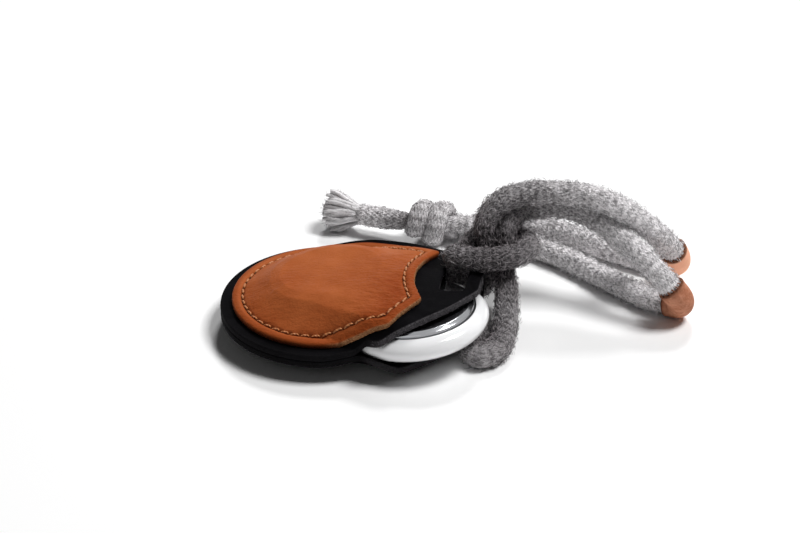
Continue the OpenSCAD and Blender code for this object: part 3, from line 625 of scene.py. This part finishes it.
def sleeve(name, rows, first, line, squeeze, depth):
    """A short leather tube round the cord, three route points long, with rolled dark rims; depth sets the shade painted
    on it, below 0 a painted highlight.
    """
    a, b = (length(line - rows[k, :3]).argmin() for k in (first, first + 3))
    path, tight = line[a:b + 1], squeeze[a:b + 1]
    share = np.linspace(0, 1, len(path))
    ends = np.minimum(share, 1 - share) * length(np.diff(path, axis=0)).sum()
    flare = 0.1 * np.exp(-(ends / 0.5) ** 2)
    outer = tube(path, tight, CORD_RADIUS + 0.62 + flare, SLEEVE_RING)
    inner = tube(path, tight, CORD_RADIUS + 0.07, SLEEVE_RING)
    way = unit(np.gradient(path, axis=0))
    rim_a = (outer[0] + inner[0]) / 2 - way[0] * 0.22
    rim_b = (outer[-1] + inner[-1]) / 2 + way[-1] * 0.22
    grid = np.concatenate([outer, rim_b[None], inner[::-1], rim_a[None]])
    near_rim = np.exp(-(ends / 0.42) ** 2)
    rim = np.concatenate([near_rim, [1], near_rim[::-1], [1]])
    flat = np.zeros(grid.shape[:2])
    # painted shade, or below 0 a painted highlight, through the near share
    shares = {"near": flat + depth, "raw": flat, "rim": flat + rim[:, None], "holes": flat}
    return piece(name, *skin(grid), "holder", SLEEVE_TAN, shares, [name]), outer, path


# painted shade on the near sleeve, a painted highlight on the far one
sleeve_near, near_outer, near_path = sleeve("sleeve_near", NEAR, 23, near_line, near_squeeze, 1.1)
sleeve_far, far_outer, far_path = sleeve("sleeve_far", FAR, 16, far_line, far_squeeze, -0.5)


def stitches(starts, ends, outs, radius, arch, turns=2.0, steps=9, columns=8):
    """Threads from start to end: each is a thick line that arches outwards and dips in at both ends."""
    t = np.linspace(0, 1, steps)[None, :, None]
    line = starts[:, None] * (1 - t) + ends[:, None] * t + ((1 - (2 * t - 1) ** 4) * arch - 0.1) * outs[:, None]
    side = np.cross(unit(ends - starts), outs)
    b = TAU * np.arange(columns)[:, None] / columns
    wide = radius * (1 - 0.25 * np.abs(2 * t[..., None] - 1) ** 3)
    rings = line[:, :, None] + wide * (np.cos(b) * side[:, None, None] + np.sin(b) * outs[:, None, None] * 0.85)
    return rings, line, b[:, 0] + turns * TAU * t * 2 + 0 * rings[..., 0]


def thread_piece(name, rings, line, twist, finish):
    """All stitches of one seam as one piece, each closed at both ends."""
    turn = np.pad(twist.reshape(len(twist), -1), ((0, 0), (0, 2)))
    return piece(name, *tubes(rings, line[:, [0, -1]]), "holder", finish, {"twist": turn}, [name])


def sleeve_seams():
    """Stitches down the seam of both sleeves, and a row over each first rim."""
    starts, ends, outs = [], [], []
    for outer, path in ((near_outer, near_path), (far_outer, far_path)):
        count = len(outer)
        for middle in np.arange(0.12, 0.95, 0.16):
            k = middle * (count - 1)
            a, b = int(k - 0.05 * count), int(k + 0.05 * count) + 1
            spots = outer[[max(a, 0), min(b, count - 1)], 10]
            starts.append(spots[0])
            ends.append(spots[1])
            outs.append(unit(spots.mean(0) - path[int(k)]))
        way = unit(path[1] - path[0])
        for j in range(0, SLEEVE_RING, 3):
            top = outer[0, j]
            out = unit(top - path[0])
            starts.append(top - way * 0.75 - out * 0.45)
            ends.append(outer[1, (j + 1) % SLEEVE_RING] - out * 0.1)
            outs.append(out)
    threads = stitches(np.array(starts), np.array(ends), np.array(outs), 0.18, 0.16)
    return thread_piece("sleeve_stitches", *threads, SLEEVE_THREAD)


sleeve_stitches = sleeve_seams()


def bare(grid, line, path):
    """The parts of a cord's rings that lie before and after its sleeve."""
    first, last = length(line - path[0]).argmin(), length(line - path[-1]).argmin()
    return grid[:first - 1], grid[last + 2:]


KNOT_HAIRS = 70        # rings of the near cord, up to the frayed end, whose hairs are short like the knot's
near_start, near_end = bare(near_grid, near_line, near_path)
far_start, far_end = bare(far_grid, far_line, far_path)
hairs_near = hairs("near_hairs", [near_start, near_end[:-KNOT_HAIRS]], 13500, 31)
hairs_far = hairs("far_hairs", [far_start, far_end], 12500, 37)
hairs_bight = hairs("bight_hairs", [bight_grid], 5200, 41)
hairs_knot = hairs("knot_hairs", [knot_grid, near_end[-KNOT_HAIRS:]], 6500, 43, long=(0.4, 1.1), lift=0.28)
hairs_fray = hairs("fray_hairs", list(fray_rings), 5000, 47, long=(0.4, 1.3), lift=0.4, thick=0.04)


def metres(line, every=4):
    """Route points in metres, thinned."""
    return (line[[*range(0, len(line) - 1, every), -1]] * MM).tolist()


bight_line[0] * MM
bight_long * MM
metres(bight_line)
near_line[0] * MM
near_long * MM
metres(near_line)
far_line[0] * MM
far_long * MM
metres(far_line)

# ---------------------------------------------------------------- the leather

PANEL_RADIUS, PATCH_RADIUS, SEAM_RADIUS = 23.6, 21.0, 18.7
FRONT_THICK = BACK_THICK = PATCH_THICK = 1.5
RIM_HEIGHT, NECK_LIFT = 4.0, 5.0
TIP_FAR, TIP_NEAR = np.array([33, 13.2]), np.array([34, -4.6])
KINK = np.array([[10.3, -21.3], [11.8, -20.9], [13.3, -21.9], [15, -22.6]])
HORN_FAR, HORN_NEAR = np.array([23.4, 13]), np.array([22.4, -11])
PATCH_LIP = np.array([16.4, -20])
TAG_OUT, TAG_HOME = np.array([20.7, -7, 7.4]), np.array([0.6, 1.2, 6.6])
SLIDE = [-0.1, *np.linspace(0, 1, 9)]
TAG_LEAN_X, TAG_LEAN_Y = math.radians(2.5), math.radians(7.1)
SLOPE_X = math.tan(TAG_LEAN_Y)
SLOPE_Y = -math.tan(TAG_LEAN_X) / math.cos(TAG_LEAN_Y)
HALF_TAG, SHEET_RINGS = 4.2, 92


def tangent_angle(tip, radius):
    """The angle at which a straight edge from the tip touches a circle round the middle."""
    return math.atan2(tip[1], tip[0]) + math.acos(radius / length(tip))


MOUTH_ANGLE = math.radians(276)
FAR_ANGLE = tangent_angle(TIP_FAR, PANEL_RADIUS)
PATCH_ANGLE = tangent_angle(HORN_FAR, PATCH_RADIUS)
SEAM_LOW = SEAM_RADIUS * heading(MOUTH_ANGLE)
SEAM_LIP = np.array([11.4, -21.7])
SEAM_FAR = SEAM_RADIUS * heading(FAR_ANGLE)
SEAM_NECK = np.array([24, 13.8])


def to_line(p, a, b):
    """Distance of points from a straight run between two points."""
    t = np.clip(((p - a) @ (b - a)) / ((b - a) @ (b - a)), 0, 1)
    return length(p - a - t[..., None] * (b - a))


def left_of(p, a, b):
    """Positive where a point lies left of the way from a to b."""
    return (b[0] - a[0]) * (p[..., 1] - a[1]) - (b[1] - a[1]) * (p[..., 0] - a[0])


def meeting(p):
    """Height at which the two panels meet: level, up to the neck, and a little up where the mouth begins."""
    reach = p @ heading(math.radians(40))
    mouth = 0.9 * smooth((p[..., 0] - 2) / 8) * smooth((-14 - p[..., 1]) / 5)
    return RIM_HEIGHT + BACK_THICK + NECK_LIFT * smooth((reach - 9) / 18) + mouth


def inside(p):
    """Distance inside the seam, 0 on the sewn side of it."""
    r = length(p)
    a = np.mod(np.arctan2(p[..., 1], p[..., 0]), TAU)
    near, far = to_line(p, SEAM_LOW, SEAM_LIP), to_line(p, SEAM_FAR, SEAM_NECK)
    ring = (a >= FAR_ANGLE) & (a <= MOUTH_ANGLE)
    low = (a > math.pi) & (p[..., 0] < SEAM_LIP[0]) & (left_of(p, SEAM_LOW, SEAM_LIP) < 0)
    high = (a < math.pi) & (p[..., 0] < SEAM_NECK[0]) & (left_of(p, SEAM_FAR, SEAM_NECK) > 0)
    return np.where(ring, np.maximum(0, np.minimum(np.minimum(SEAM_RADIUS - r, near), far)),
                    np.where(low | high, 0, np.minimum(near, far)))


def tracker_passes(p):
    """For places of the tracker along its way home: how far points are from its axis, and its mid height there."""
    for share in SLIDE:
        middle = TAG_OUT + (TAG_HOME - TAG_OUT) * share
        away = p - middle[:2]
        yield length(away), middle[2] + away @ [SLOPE_X, SLOPE_Y]


def front_under(p):
    """Underside of the front panel: close over the tracker anywhere on its way, and drawn to the seam."""
    m, e = meeting(p), inside(p)
    best = np.full(m.shape, -1e9)
    for d, z in tracker_passes(p):
        hug = z + HALF_TAG - 3.4 * smooth((d - 12.9) / 4.3) - 5 * np.maximum(0, d - 16.5)
        tent = z + HALF_TAG - 0.9 * smooth((d - 12.5) / 5)
        w = smooth(e / np.maximum(e + np.maximum(d - 13.2, 0), 0.001))
        best = np.maximum(best, np.maximum(np.minimum(hug, m + 3 * e), m + np.maximum(0, tent - m) * w))
    return np.where(e <= 0, m, best)


def shell_top(p):
    """The highest that the tracker reaches over each point on its way home, with a hair of room."""
    best = np.full(p.shape[:-1], -1e9)
    for d, z in tracker_passes(p):
        top = z + 4.3 - 0.55 * smooth((d - 11) / 2.2) - 3.1 * smooth((d - 13.2) / 3.1)
        best = np.maximum(best, np.where(d < 16, top, -1e9))
    return best


def drawn(step=0.5, rounds=700):
    """Heights of the front panel's underside on an even grid, as leather drawn over the tracker's way home.

    Each round gives every spot the mean of its four neighbours, never lower than the tracker or the back
    panel needs; on the sewn side it stays where the panels meet."""
    x, y = np.arange(-27, 40, step), np.arange(-28, 27, step)
    spots = np.stack(np.meshgrid(x, y, indexing="ij"), -1)
    lowest, sewn, z = np.maximum(meeting(spots), shell_top(spots)), inside(spots) <= 0, front_under(spots)
    for _ in range(rounds):
        wide = np.pad(z, 1, mode="edge")
        mean = (wide[:-2, 1:-1] + wide[2:, 1:-1] + wide[1:-1, :-2] + wide[1:-1, 2:]) / 4
        z = np.where(sewn, z, np.maximum(mean, lowest))
    return np.array([x[0], y[0]]), step, z


DRAWN = drawn()


def relaxed(p):
    """The drawn height at each point, on a smooth surface through the grid; the neck keeps its own height."""
    start, step, field = DRAWN
    place = (p - start) / step
    cell = np.clip(np.floor(place).astype(int), 1, np.array(field.shape) - 3)
    f = place - cell
    weights = [(-f + 2 * f ** 2 - f ** 3) / 2, (2 - 5 * f ** 2 + 3 * f ** 3) / 2,
               (f + 4 * f ** 2 - 3 * f ** 3) / 2, (f ** 3 - f ** 2) / 2]
    height = sum(weights[i][..., 0] * weights[j][..., 1] * field[cell[..., 0] + i - 1, cell[..., 1] + j - 1]
                 for i in range(4) for j in range(4))
    neck = smooth((p[..., 0] - 21) / 4)
    return height * (1 - neck) + front_under(p) * neck


def back_top(p):
    """Top of the back panel: under the tracker, and down to the table in the middle."""
    m, e = meeting(p), inside(p)
    low, hug = np.full(m.shape, 1e9), np.full(m.shape, 1e9)
    for d, z in tracker_passes(p):
        low = np.minimum(low, z - HALF_TAG + 2.8 * smooth((d - 12) / 5) + 6 * smooth((d - 16.5) / 5))
        hug = np.minimum(hug, z - HALF_TAG + 3.5 * smooth((d - 11.8) / 5.2) + 5 * np.maximum(0, d - 16.4))
    bed = BACK_THICK + np.maximum(0, low - BACK_THICK) * smooth((p[..., 0] - 4) / 8)
    sunk = m - np.maximum(0, m - bed) * smooth(e / 5.5)
    return np.where(e <= 0, m, np.maximum(BACK_THICK, np.minimum(sunk, np.maximum(hug, m - 3 * e))))


def bend_line(a, b, c, count):
    """A curve from a to c that leaves and arrives along the lines through b."""
    t = np.linspace(0, 1, count)[:, None]
    return (1 - t) ** 2 * a + 2 * t * (1 - t) * b + t * t * c


def arc_line(radius, first, last, count):
    """Part of a circle round the middle."""
    return radius * heading(np.linspace(first, last, count)).T


def even_loop(points, step, rounding=2):
    """A closed line with points a step apart, its corners softened."""
    ring = np.concatenate([points, points[:1]])
    run = run_of(ring)
    count = int(round(run[-1] / step))
    loop = points_at(np.arange(count) * run[-1] / count, run, ring)
    for _ in range(rounding):
        loop = (np.roll(loop, 1, 0) + 2 * loop + np.roll(loop, -1, 0)) / 4
    return loop


def panel_loop(step):
    """Outline of the two black panels."""
    turn = (KINK[-1] + TIP_NEAR) / 2 + 3.7 * heading(math.radians(-46))
    return even_loop(np.concatenate([arc_line(PANEL_RADIUS, FAR_ANGLE, math.radians(292), 200), KINK[:-1],
                                     bend_line(KINK[-1], turn, TIP_NEAR - 0.7, 40),
                                     [TIP_NEAR + [0, 0.5], [34, 12.3], TIP_FAR]]), step)


def patch_loop(step):
    """Outline of the patch: round, with a lip, two horns and a notch between them."""
    leave = math.radians(277)
    kink = PATCH_RADIUS * heading(leave)
    turn = kink + 7.5 * heading(leave + math.pi / 2) - [0, 0.4]
    s = np.linspace(0, 1, 40)[:, None]
    depth = (HORN_NEAR[0] + HORN_FAR[0]) / 2 - 19.6
    notch = HORN_NEAR + (HORN_FAR - HORN_NEAR) * s - [depth, 0] * (4 * s * (1 - s))
    return even_loop(np.concatenate([arc_line(PATCH_RADIUS, PATCH_ANGLE, leave, 160)[:-1],
                                     bend_line(kink, turn, PATCH_LIP, 40), notch]), step, 3)


def outward(loop):
    """Unit vectors out of a closed line that runs anticlockwise."""
    way = np.roll(loop, -1, 0) - np.roll(loop, 1, 0)
    return unit(np.stack([way[:, 1], -way[:, 0]], 1))


SLOT_LOW, SLOT_HIGH, SLOT_CORNER = np.array([25.2, -5.0]), np.array([30.8, 12.9]), 1.4


def slot_loop(towards):
    """Points of the slot's outline, a rectangle with round corners, in the directions of the given points."""
    middle, half = (SLOT_LOW + SLOT_HIGH) / 2, (SLOT_HIGH - SLOT_LOW) / 2
    quarter = np.linspace(0, math.pi / 2, 12)
    corners = [(half - SLOT_CORNER) * sign + SLOT_CORNER * heading(quarter + k * math.pi / 2).T
               for k, sign in enumerate(([1, 1], [-1, 1], [-1, -1], [1, -1]))]
    edge = even_loop(np.concatenate(corners), 0.1, 0)
    turn = np.arctan2(edge[:, 1], edge[:, 0])
    a = np.arctan2(*(towards - middle).T[::-1])
    reach = np.interp(a, turn, length(edge), period=TAU)
    return middle + reach[:, None] * heading(a).T


def cut_edge(rim, out, low, thick, round_by, power, steps, ragged):
    """Rings down the rounded cut of a sheet, between its top and its underside.

    A ring stands out by the rounding times a power of the sine of its angle, plus how ragged the cut is."""
    turn = np.linspace(0, math.pi, steps)[1:-1, None]
    reach = round_by * np.sin(turn) ** power + ragged
    return raised(rim + out * reach[..., None], low + thick - (1 - np.cos(turn)) / 2 * thick)


def stack_shares(counts, columns, *values):
    """One grid of shares from the values of its blocks of rows: the top, the edge, the underside and so on."""
    return np.concatenate([np.broadcast_to(v, (n, columns)) for n, v in zip(counts, values)])


def panel(name, low_of, thick, raw_of, seed):
    """A sheet of leather with the slot through it: top, outer edge, underside and slot wall in one closed skin.

    The grid runs from the slot's outline to the panel's, and heights come from the place alone."""
    round_by = 0.35
    outer = panel_loop(0.42)
    out = outward(outer)
    rim = outer - out * round_by
    hole = slot_loop(outer)
    hole_out = unit(hole - (SLOT_LOW + SLOT_HIGH) / 2) * 0.25
    t = np.linspace(0, 1, SHEET_RINGS)[:, None, None]
    flat = (hole + hole_out)[None] * (1 - t) + rim[None] * t
    low = low_of(flat)
    grain = 0.05 * ripple(flat, 5, seed) * smooth(t[..., 0] * 8) * smooth((1 - t[..., 0]) * 20)
    top = raised(flat, low + thick + grain)
    under = raised(flat, low)[::-1]
    edge_low = low_of(rim)
    ragged = 0.07 * ripple(raised(rim, edge_low), 0.9, seed + 1) * raw_of(rim)
    sides = cut_edge(rim, out, edge_low, thick, round_by, 0.5, 9, ragged)
    hole_low = low_of(hole)
    wall = np.stack([raised(hole, hole_low + thick * s) for s in (0.12, 0.5, 0.88)])
    inner = SHEET_RINGS - 1
    raw = stack_shares((inner, 1, len(sides), 1, inner, 3), len(rim), 0, 0.35, 1, 0.35, 0, 0.25) * raw_of(rim)
    piece(name, *skin(np.concatenate([top, sides, under, wall])), "holder", BLACK, {"raw": raw}, [name])
    return sides


def front_raw(p):
    """How raw the cut is: from the lip to the tip of the neck it is a fresh fuzzy cut, elsewhere painted."""
    return 0.08 + 0.92 * smooth((p[..., 0] - 12) / 4) * smooth((2 - p[..., 1]) / 6)


def back_raw(p):
    """The back panel's cut is painted nearly all round."""
    return 0.06 + 0.34 * smooth((p[..., 0] - 10) / 4)


front_edge = panel("front_panel", relaxed, FRONT_THICK, front_raw, 51)
panel("back_panel", lambda p: back_top(p) - BACK_THICK, BACK_THICK, back_raw, 57)


def nearest(points, targets, block=4000):
    """Distance of each point to the nearest of some targets."""
    flat = points.reshape(-1, points.shape[-1])
    found = [length(flat[k:k + block, None] - targets[None]).min(1) for k in range(0, len(flat), block)]
    return np.concatenate(found).reshape(points.shape[:-1])


def stitch_line():
    """The line of stitches, inside the edge of the patch, with points close together."""
    loop = patch_loop(0.3)
    line = loop - outward(loop) * 2.35
    return even_loop(line[nearest(line, loop) > 2.28], 0.25, 5)


STITCH_COUNT, STITCH_LONG = 54, 1.8
stitch_path = stitch_line()


def stitch_ends():
    """Both ends of every stitch along the line."""
    ring = np.concatenate([stitch_path, stitch_path[:1]])
    run = run_of(ring)
    middle = (np.arange(STITCH_COUNT) + 0.5) * run[-1] / STITCH_COUNT
    return tuple(points_at(np.mod(middle + s * STITCH_LONG / 2, run[-1]), run, ring) for s in (-1, 1))


PATCH_LOW = FRONT_THICK + 0.06


def patch_relief(p, edge_far, seam_far, hole_far):
    """How the patch swells between its edge and the seam, and sinks along the seam and at each hole."""
    swell = 0.22 * np.exp(-((edge_far - 1.25) / 0.7) ** 2)
    groove = -0.3 * np.exp(-(seam_far / 0.42) ** 2)
    return swell + groove - 0.16 * np.exp(-(hole_far / 0.3) ** 2) + 0.07 * ripple(p, 7, 61) * smooth(edge_far / 3)


def patch():
    """The tan patch: rings from the middle to the outline, a rounded edge and the underside."""
    round_by = 0.45
    outer = patch_loop(0.32)
    out = outward(outer)
    rim = outer - out * round_by
    flat = rim[None] * (1 - (1 - np.linspace(0.02, 1, SHEET_RINGS)) ** 1.25)[:, None, None]
    edge_far, seam_far = nearest(flat, outer[::2]), nearest(flat, stitch_path)
    hole_far = nearest(flat, np.concatenate(stitch_ends()))
    base = relaxed(flat) + PATCH_LOW
    top = raised(flat, base + PATCH_THICK + patch_relief(flat, edge_far, seam_far, hole_far))
    coarse = np.linspace(1, 0.02, 30)[:, None, None] * rim[None]
    under = raised(coarse, relaxed(coarse) + PATCH_LOW)
    open_cut = smooth((rim[:, 0] - 2) / 6) * smooth((10 - rim[:, 1]) / 4)
    ragged = 0.05 * ripple(raised(rim, base[-1]), 0.8, 63) * open_cut
    sides = cut_edge(rim, out, base[-1], PATCH_THICK, round_by, 0.7, 11, ragged)
    grid = np.concatenate([top, sides, under])
    bottom = relaxed(np.zeros((1, 2)))[0] + PATCH_LOW
    down = np.linspace(0, 1, len(sides))[:, None]

    def shares(ends, *values):
        return np.append(stack_shares((len(top), len(sides), len(under)), len(rim), *values), ends)

    # the patch's polished cut side darker towards its bottom, except where the cut is raw
    dark_edge = 0.95 * smooth((down - 0.15) / 0.45) * (1 - open_cut)
    x, y = grid[..., 0], grid[..., 1]
    # painted shade: darker towards the near side and on the near right, with a painted highlight lightening the low
    # middle
    near = (0.55 * smooth((12 - y) / 22) + 0.55 * smooth((x - 1) / 15) * smooth((14 - y) / 10)
            - 0.5 * np.exp(-((x - 2) / 9) ** 2 - ((y + 11) / 5) ** 2))
    return piece("patch", *skin(grid, ([0, 0, bottom + PATCH_THICK], [0, 0, bottom])), "holder", TAN, {
        "near": np.append(near, (0.3, 0.3)),
        "raw": shares((0, 1), 0, open_cut * smooth(down * 3), 1),
        "rim": shares((0, 0), np.exp(-((edge_far - 0.5) / 0.75) ** 2), 0.9, 0),
        # painted shade in the stitch holes on the top; on the cut side, darker low down
        "holes": shares((0, 0), np.exp(-(hole_far / 0.34) ** 2), dark_edge, 0)}, ["patch"])


patch()


def patch_seam():
    """The stitches of the patch, each lying in the groove and slightly askew."""
    starts, ends = stitch_ends()
    way = unit(ends - starts)
    side = np.stack([-way[:, 1], way[:, 0]], 1)
    askew = side * (0.12 + 0.06 * np.random.default_rng(71).normal(size=(STITCH_COUNT, 1)))
    a, b = (raised(p, relaxed(p) + PATCH_LOW + PATCH_THICK - 0.14) for p in (starts - askew, ends + askew))
    way = unit(b - a)
    outs = unit(np.array([0, 0, 1.0]) - way * way[:, 2:])
    threads = stitches(a, b, outs, 0.25, 0.24, turns=1.2, steps=11, columns=10)
    return thread_piece("patch_stitches", *threads, THREAD)


patch_seam()

# fibres along the raw cut of the front panel
raw_part = front_edge[1:6, (front_edge[0, :, 0] > 13) & (front_edge[0, :, 1] < 4)].transpose(1, 0, 2)
hairs("edge_hairs", [raw_part], 1500, 81, long=(0.15, 0.5), lift=0.9, thick=0.028, finish=cut_fibres())

# ---------------------------------------------------------------- the tracker

TAG_TURN = np.array(Matrix.Rotation(-TAG_LEAN_Y, 3, "Y") @ Matrix.Rotation(-TAG_LEAN_X, 3, "X"))


def turned(name, body, finish, profile, count=160):
    """A piece turned from a profile of (radius, height) about the tracker's own axis, its corners softened."""
    corners = np.asarray(profile, float)
    for _ in range(2):
        cut = np.stack([corners[:-1] * 0.75 + corners[1:] * 0.25, corners[:-1] * 0.25 + corners[1:] * 0.75], 1)
        corners = np.concatenate([corners[:1], cut.reshape(-1, 2), corners[-1:]])
    corners = corners[1:-1]
    a = TAU * np.arange(count) / count
    grid = np.stack([corners[:, :1] * np.cos(a), corners[:, :1] * np.sin(a), corners[:, 1:] + 0 * a], -1)
    ends = np.array([[0, 0, corners[0, 1]], [0, 0, corners[-1, 1]]])
    return piece(name, *skin(grid @ TAG_TURN.T + TAG_OUT, ends @ TAG_TURN.T + TAG_OUT), body, finish,
                 stands_for=[name])


def near_pairs(profile, apart=0.06):
    """Doubles the sharp corners of a profile, so that softening leaves them only slightly round."""
    rows = [profile[0]]
    for before, corner, after in zip(profile, profile[1:], profile[2:]):
        a, b = np.subtract(before, corner), np.subtract(after, corner)
        rows.append(tuple(np.add(corner, a / max(length(a), 1e-6) * min(apart, length(a) / 3))))
        rows.append(tuple(np.add(corner, b / max(length(b), 1e-6) * min(apart, length(b) / 3))))
    return rows + [profile[-1]]


# Profiles of (radius, height), from the axis outwards and back to it. The shell's first nine points are the
# hollow that the works sit in, the rest its wall and dome.
SHELL = [(0, -3), (5, -2.9), (9, -2.6), (11.4, -1.9), (12.2, -0.9), (12.2, 1.5), (13.22, 1.5), (13.22, 2.6),
         (13.36, 2.74), (13.9, 2.62), (15.0, 2.1), (15.7, 1.3), (15.95, 0.4), (15.7, -0.6), (14.8, -1.9), (13, -2.9),
         (10.5, -3.6), (7, -3.95), (0, -4)]
COVER = [(0, 4), (8, 3.95), (11.6, 3.84), (12.05, 3.8), (12.82, 3.3), (12.95, 3.05), (12.95, 1.95), (12.35, 1.95),
         (12.35, 3.25), (0, 3.3)]


turned("tag_shell", "tracker", WHITE, near_pairs(SHELL[:9]) + SHELL[9:])
turned("tag_cover", "cover", STEEL, near_pairs(COVER))

INNER = {
    "cover_seal": ((0.012, 0.012, 0.013), (0.02, 0.02, 0.022), 0.7, 0.0),
    "coin_cell": ((0.55, 0.56, 0.57), (0.65, 0.655, 0.67), 0.3, 1.0),
    "battery_contacts": ((0.68, 0.5, 0.2), (0.78, 0.6, 0.28), 0.3, 1.0),
    "circuit_board": ((0.012, 0.09, 0.035), (0.02, 0.13, 0.05), 0.45, 0.0),
    "antenna_ring": ((0.62, 0.4, 0.2), (0.7, 0.48, 0.27), 0.35, 1.0),
    "inner_frame": ((0.66, 0.67, 0.68), (0.74, 0.75, 0.76), 0.5, 0.0),
    "voice_coil": ((0.42, 0.17, 0.07), (0.55, 0.25, 0.1), 0.35, 1.0),
    "speaker_magnet": ((0.38, 0.39, 0.4), (0.5, 0.51, 0.52), 0.3, 1.0)}
for name, (first, second, rough, metal) in INNER.items():
    node = frame["nodes"][name]
    node.data.materials.clear()
    node.data.materials.append(plain_finish(name.replace("_", " ") + " finish", first, second, rough, metal))

# ---------------------------------------------------------------- floor, lamps and world

FLOOR_HALF, LAMP_AIM = 3000, (20, 0, 5)


def floor():
    """A white table that keeps the shadows."""
    finish = Finish("floor", Roughness=1.0, Specular_IOR_Level=0.0, Base_Color=(1.0, 1.0, 1.0)).material
    mesh = bpy.data.meshes.new("floor")
    mesh.from_pydata([(x * FLOOR_HALF * MM, y * FLOOR_HALF * MM, 0) for x, y in ((-1, -1), (1, -1), (1, 1), (-1, 1))],
                     [], [[0, 1, 2, 3]])
    mesh.materials.append(finish)
    made = bpy.data.objects.new("floor", mesh)
    bpy.context.scene.collection.objects.link(made)


def lamp(name, at, size, power):
    """A square lamp that faces the part; places in millimetres."""
    light = bpy.data.lights.new(name, "AREA")
    light.shape, light.size, light.energy = "SQUARE", size * MM, power
    back = unit(np.subtract(at, LAMP_AIM).astype(float))
    right = unit(np.cross([0, 1, 0.01], back))
    stand(name, light, [right, np.cross(back, right), back], at)


def world(level):
    """White to the camera, in reflections and through glass, and a plain level of light for the rest."""
    sky = bpy.data.worlds.new("studio")
    bpy.context.scene.world = sky
    sky.use_nodes = True
    g = Graph(sky.node_tree)
    out = g.tree.nodes.new("ShaderNodeOutputWorld")
    camera, glossy, glass = (g.node("ShaderNodeLightPath", output=f"Is {ray} Ray")
                             for ray in ("Camera", "Glossy", "Transmission"))
    seen = camera.maths("MAXIMUM", glossy).maths("MAXIMUM", glass)
    ground = g.node("ShaderNodeBackground", {}, {"Color": (1, 1, 1), "Strength": seen * (1 - level) + level})
    g.tree.links.new(ground.link, out.inputs["Surface"])


floor()
world(0.035)
lamp("key", (560, 70, 1080), 380, 12.4)
lamp("back", (60, 800, 980), 240, 6.0)
lamp("front", (-100, -700, 520), 500, 0.25)
bpy.context.scene.view_settings.view_transform = "Standard"
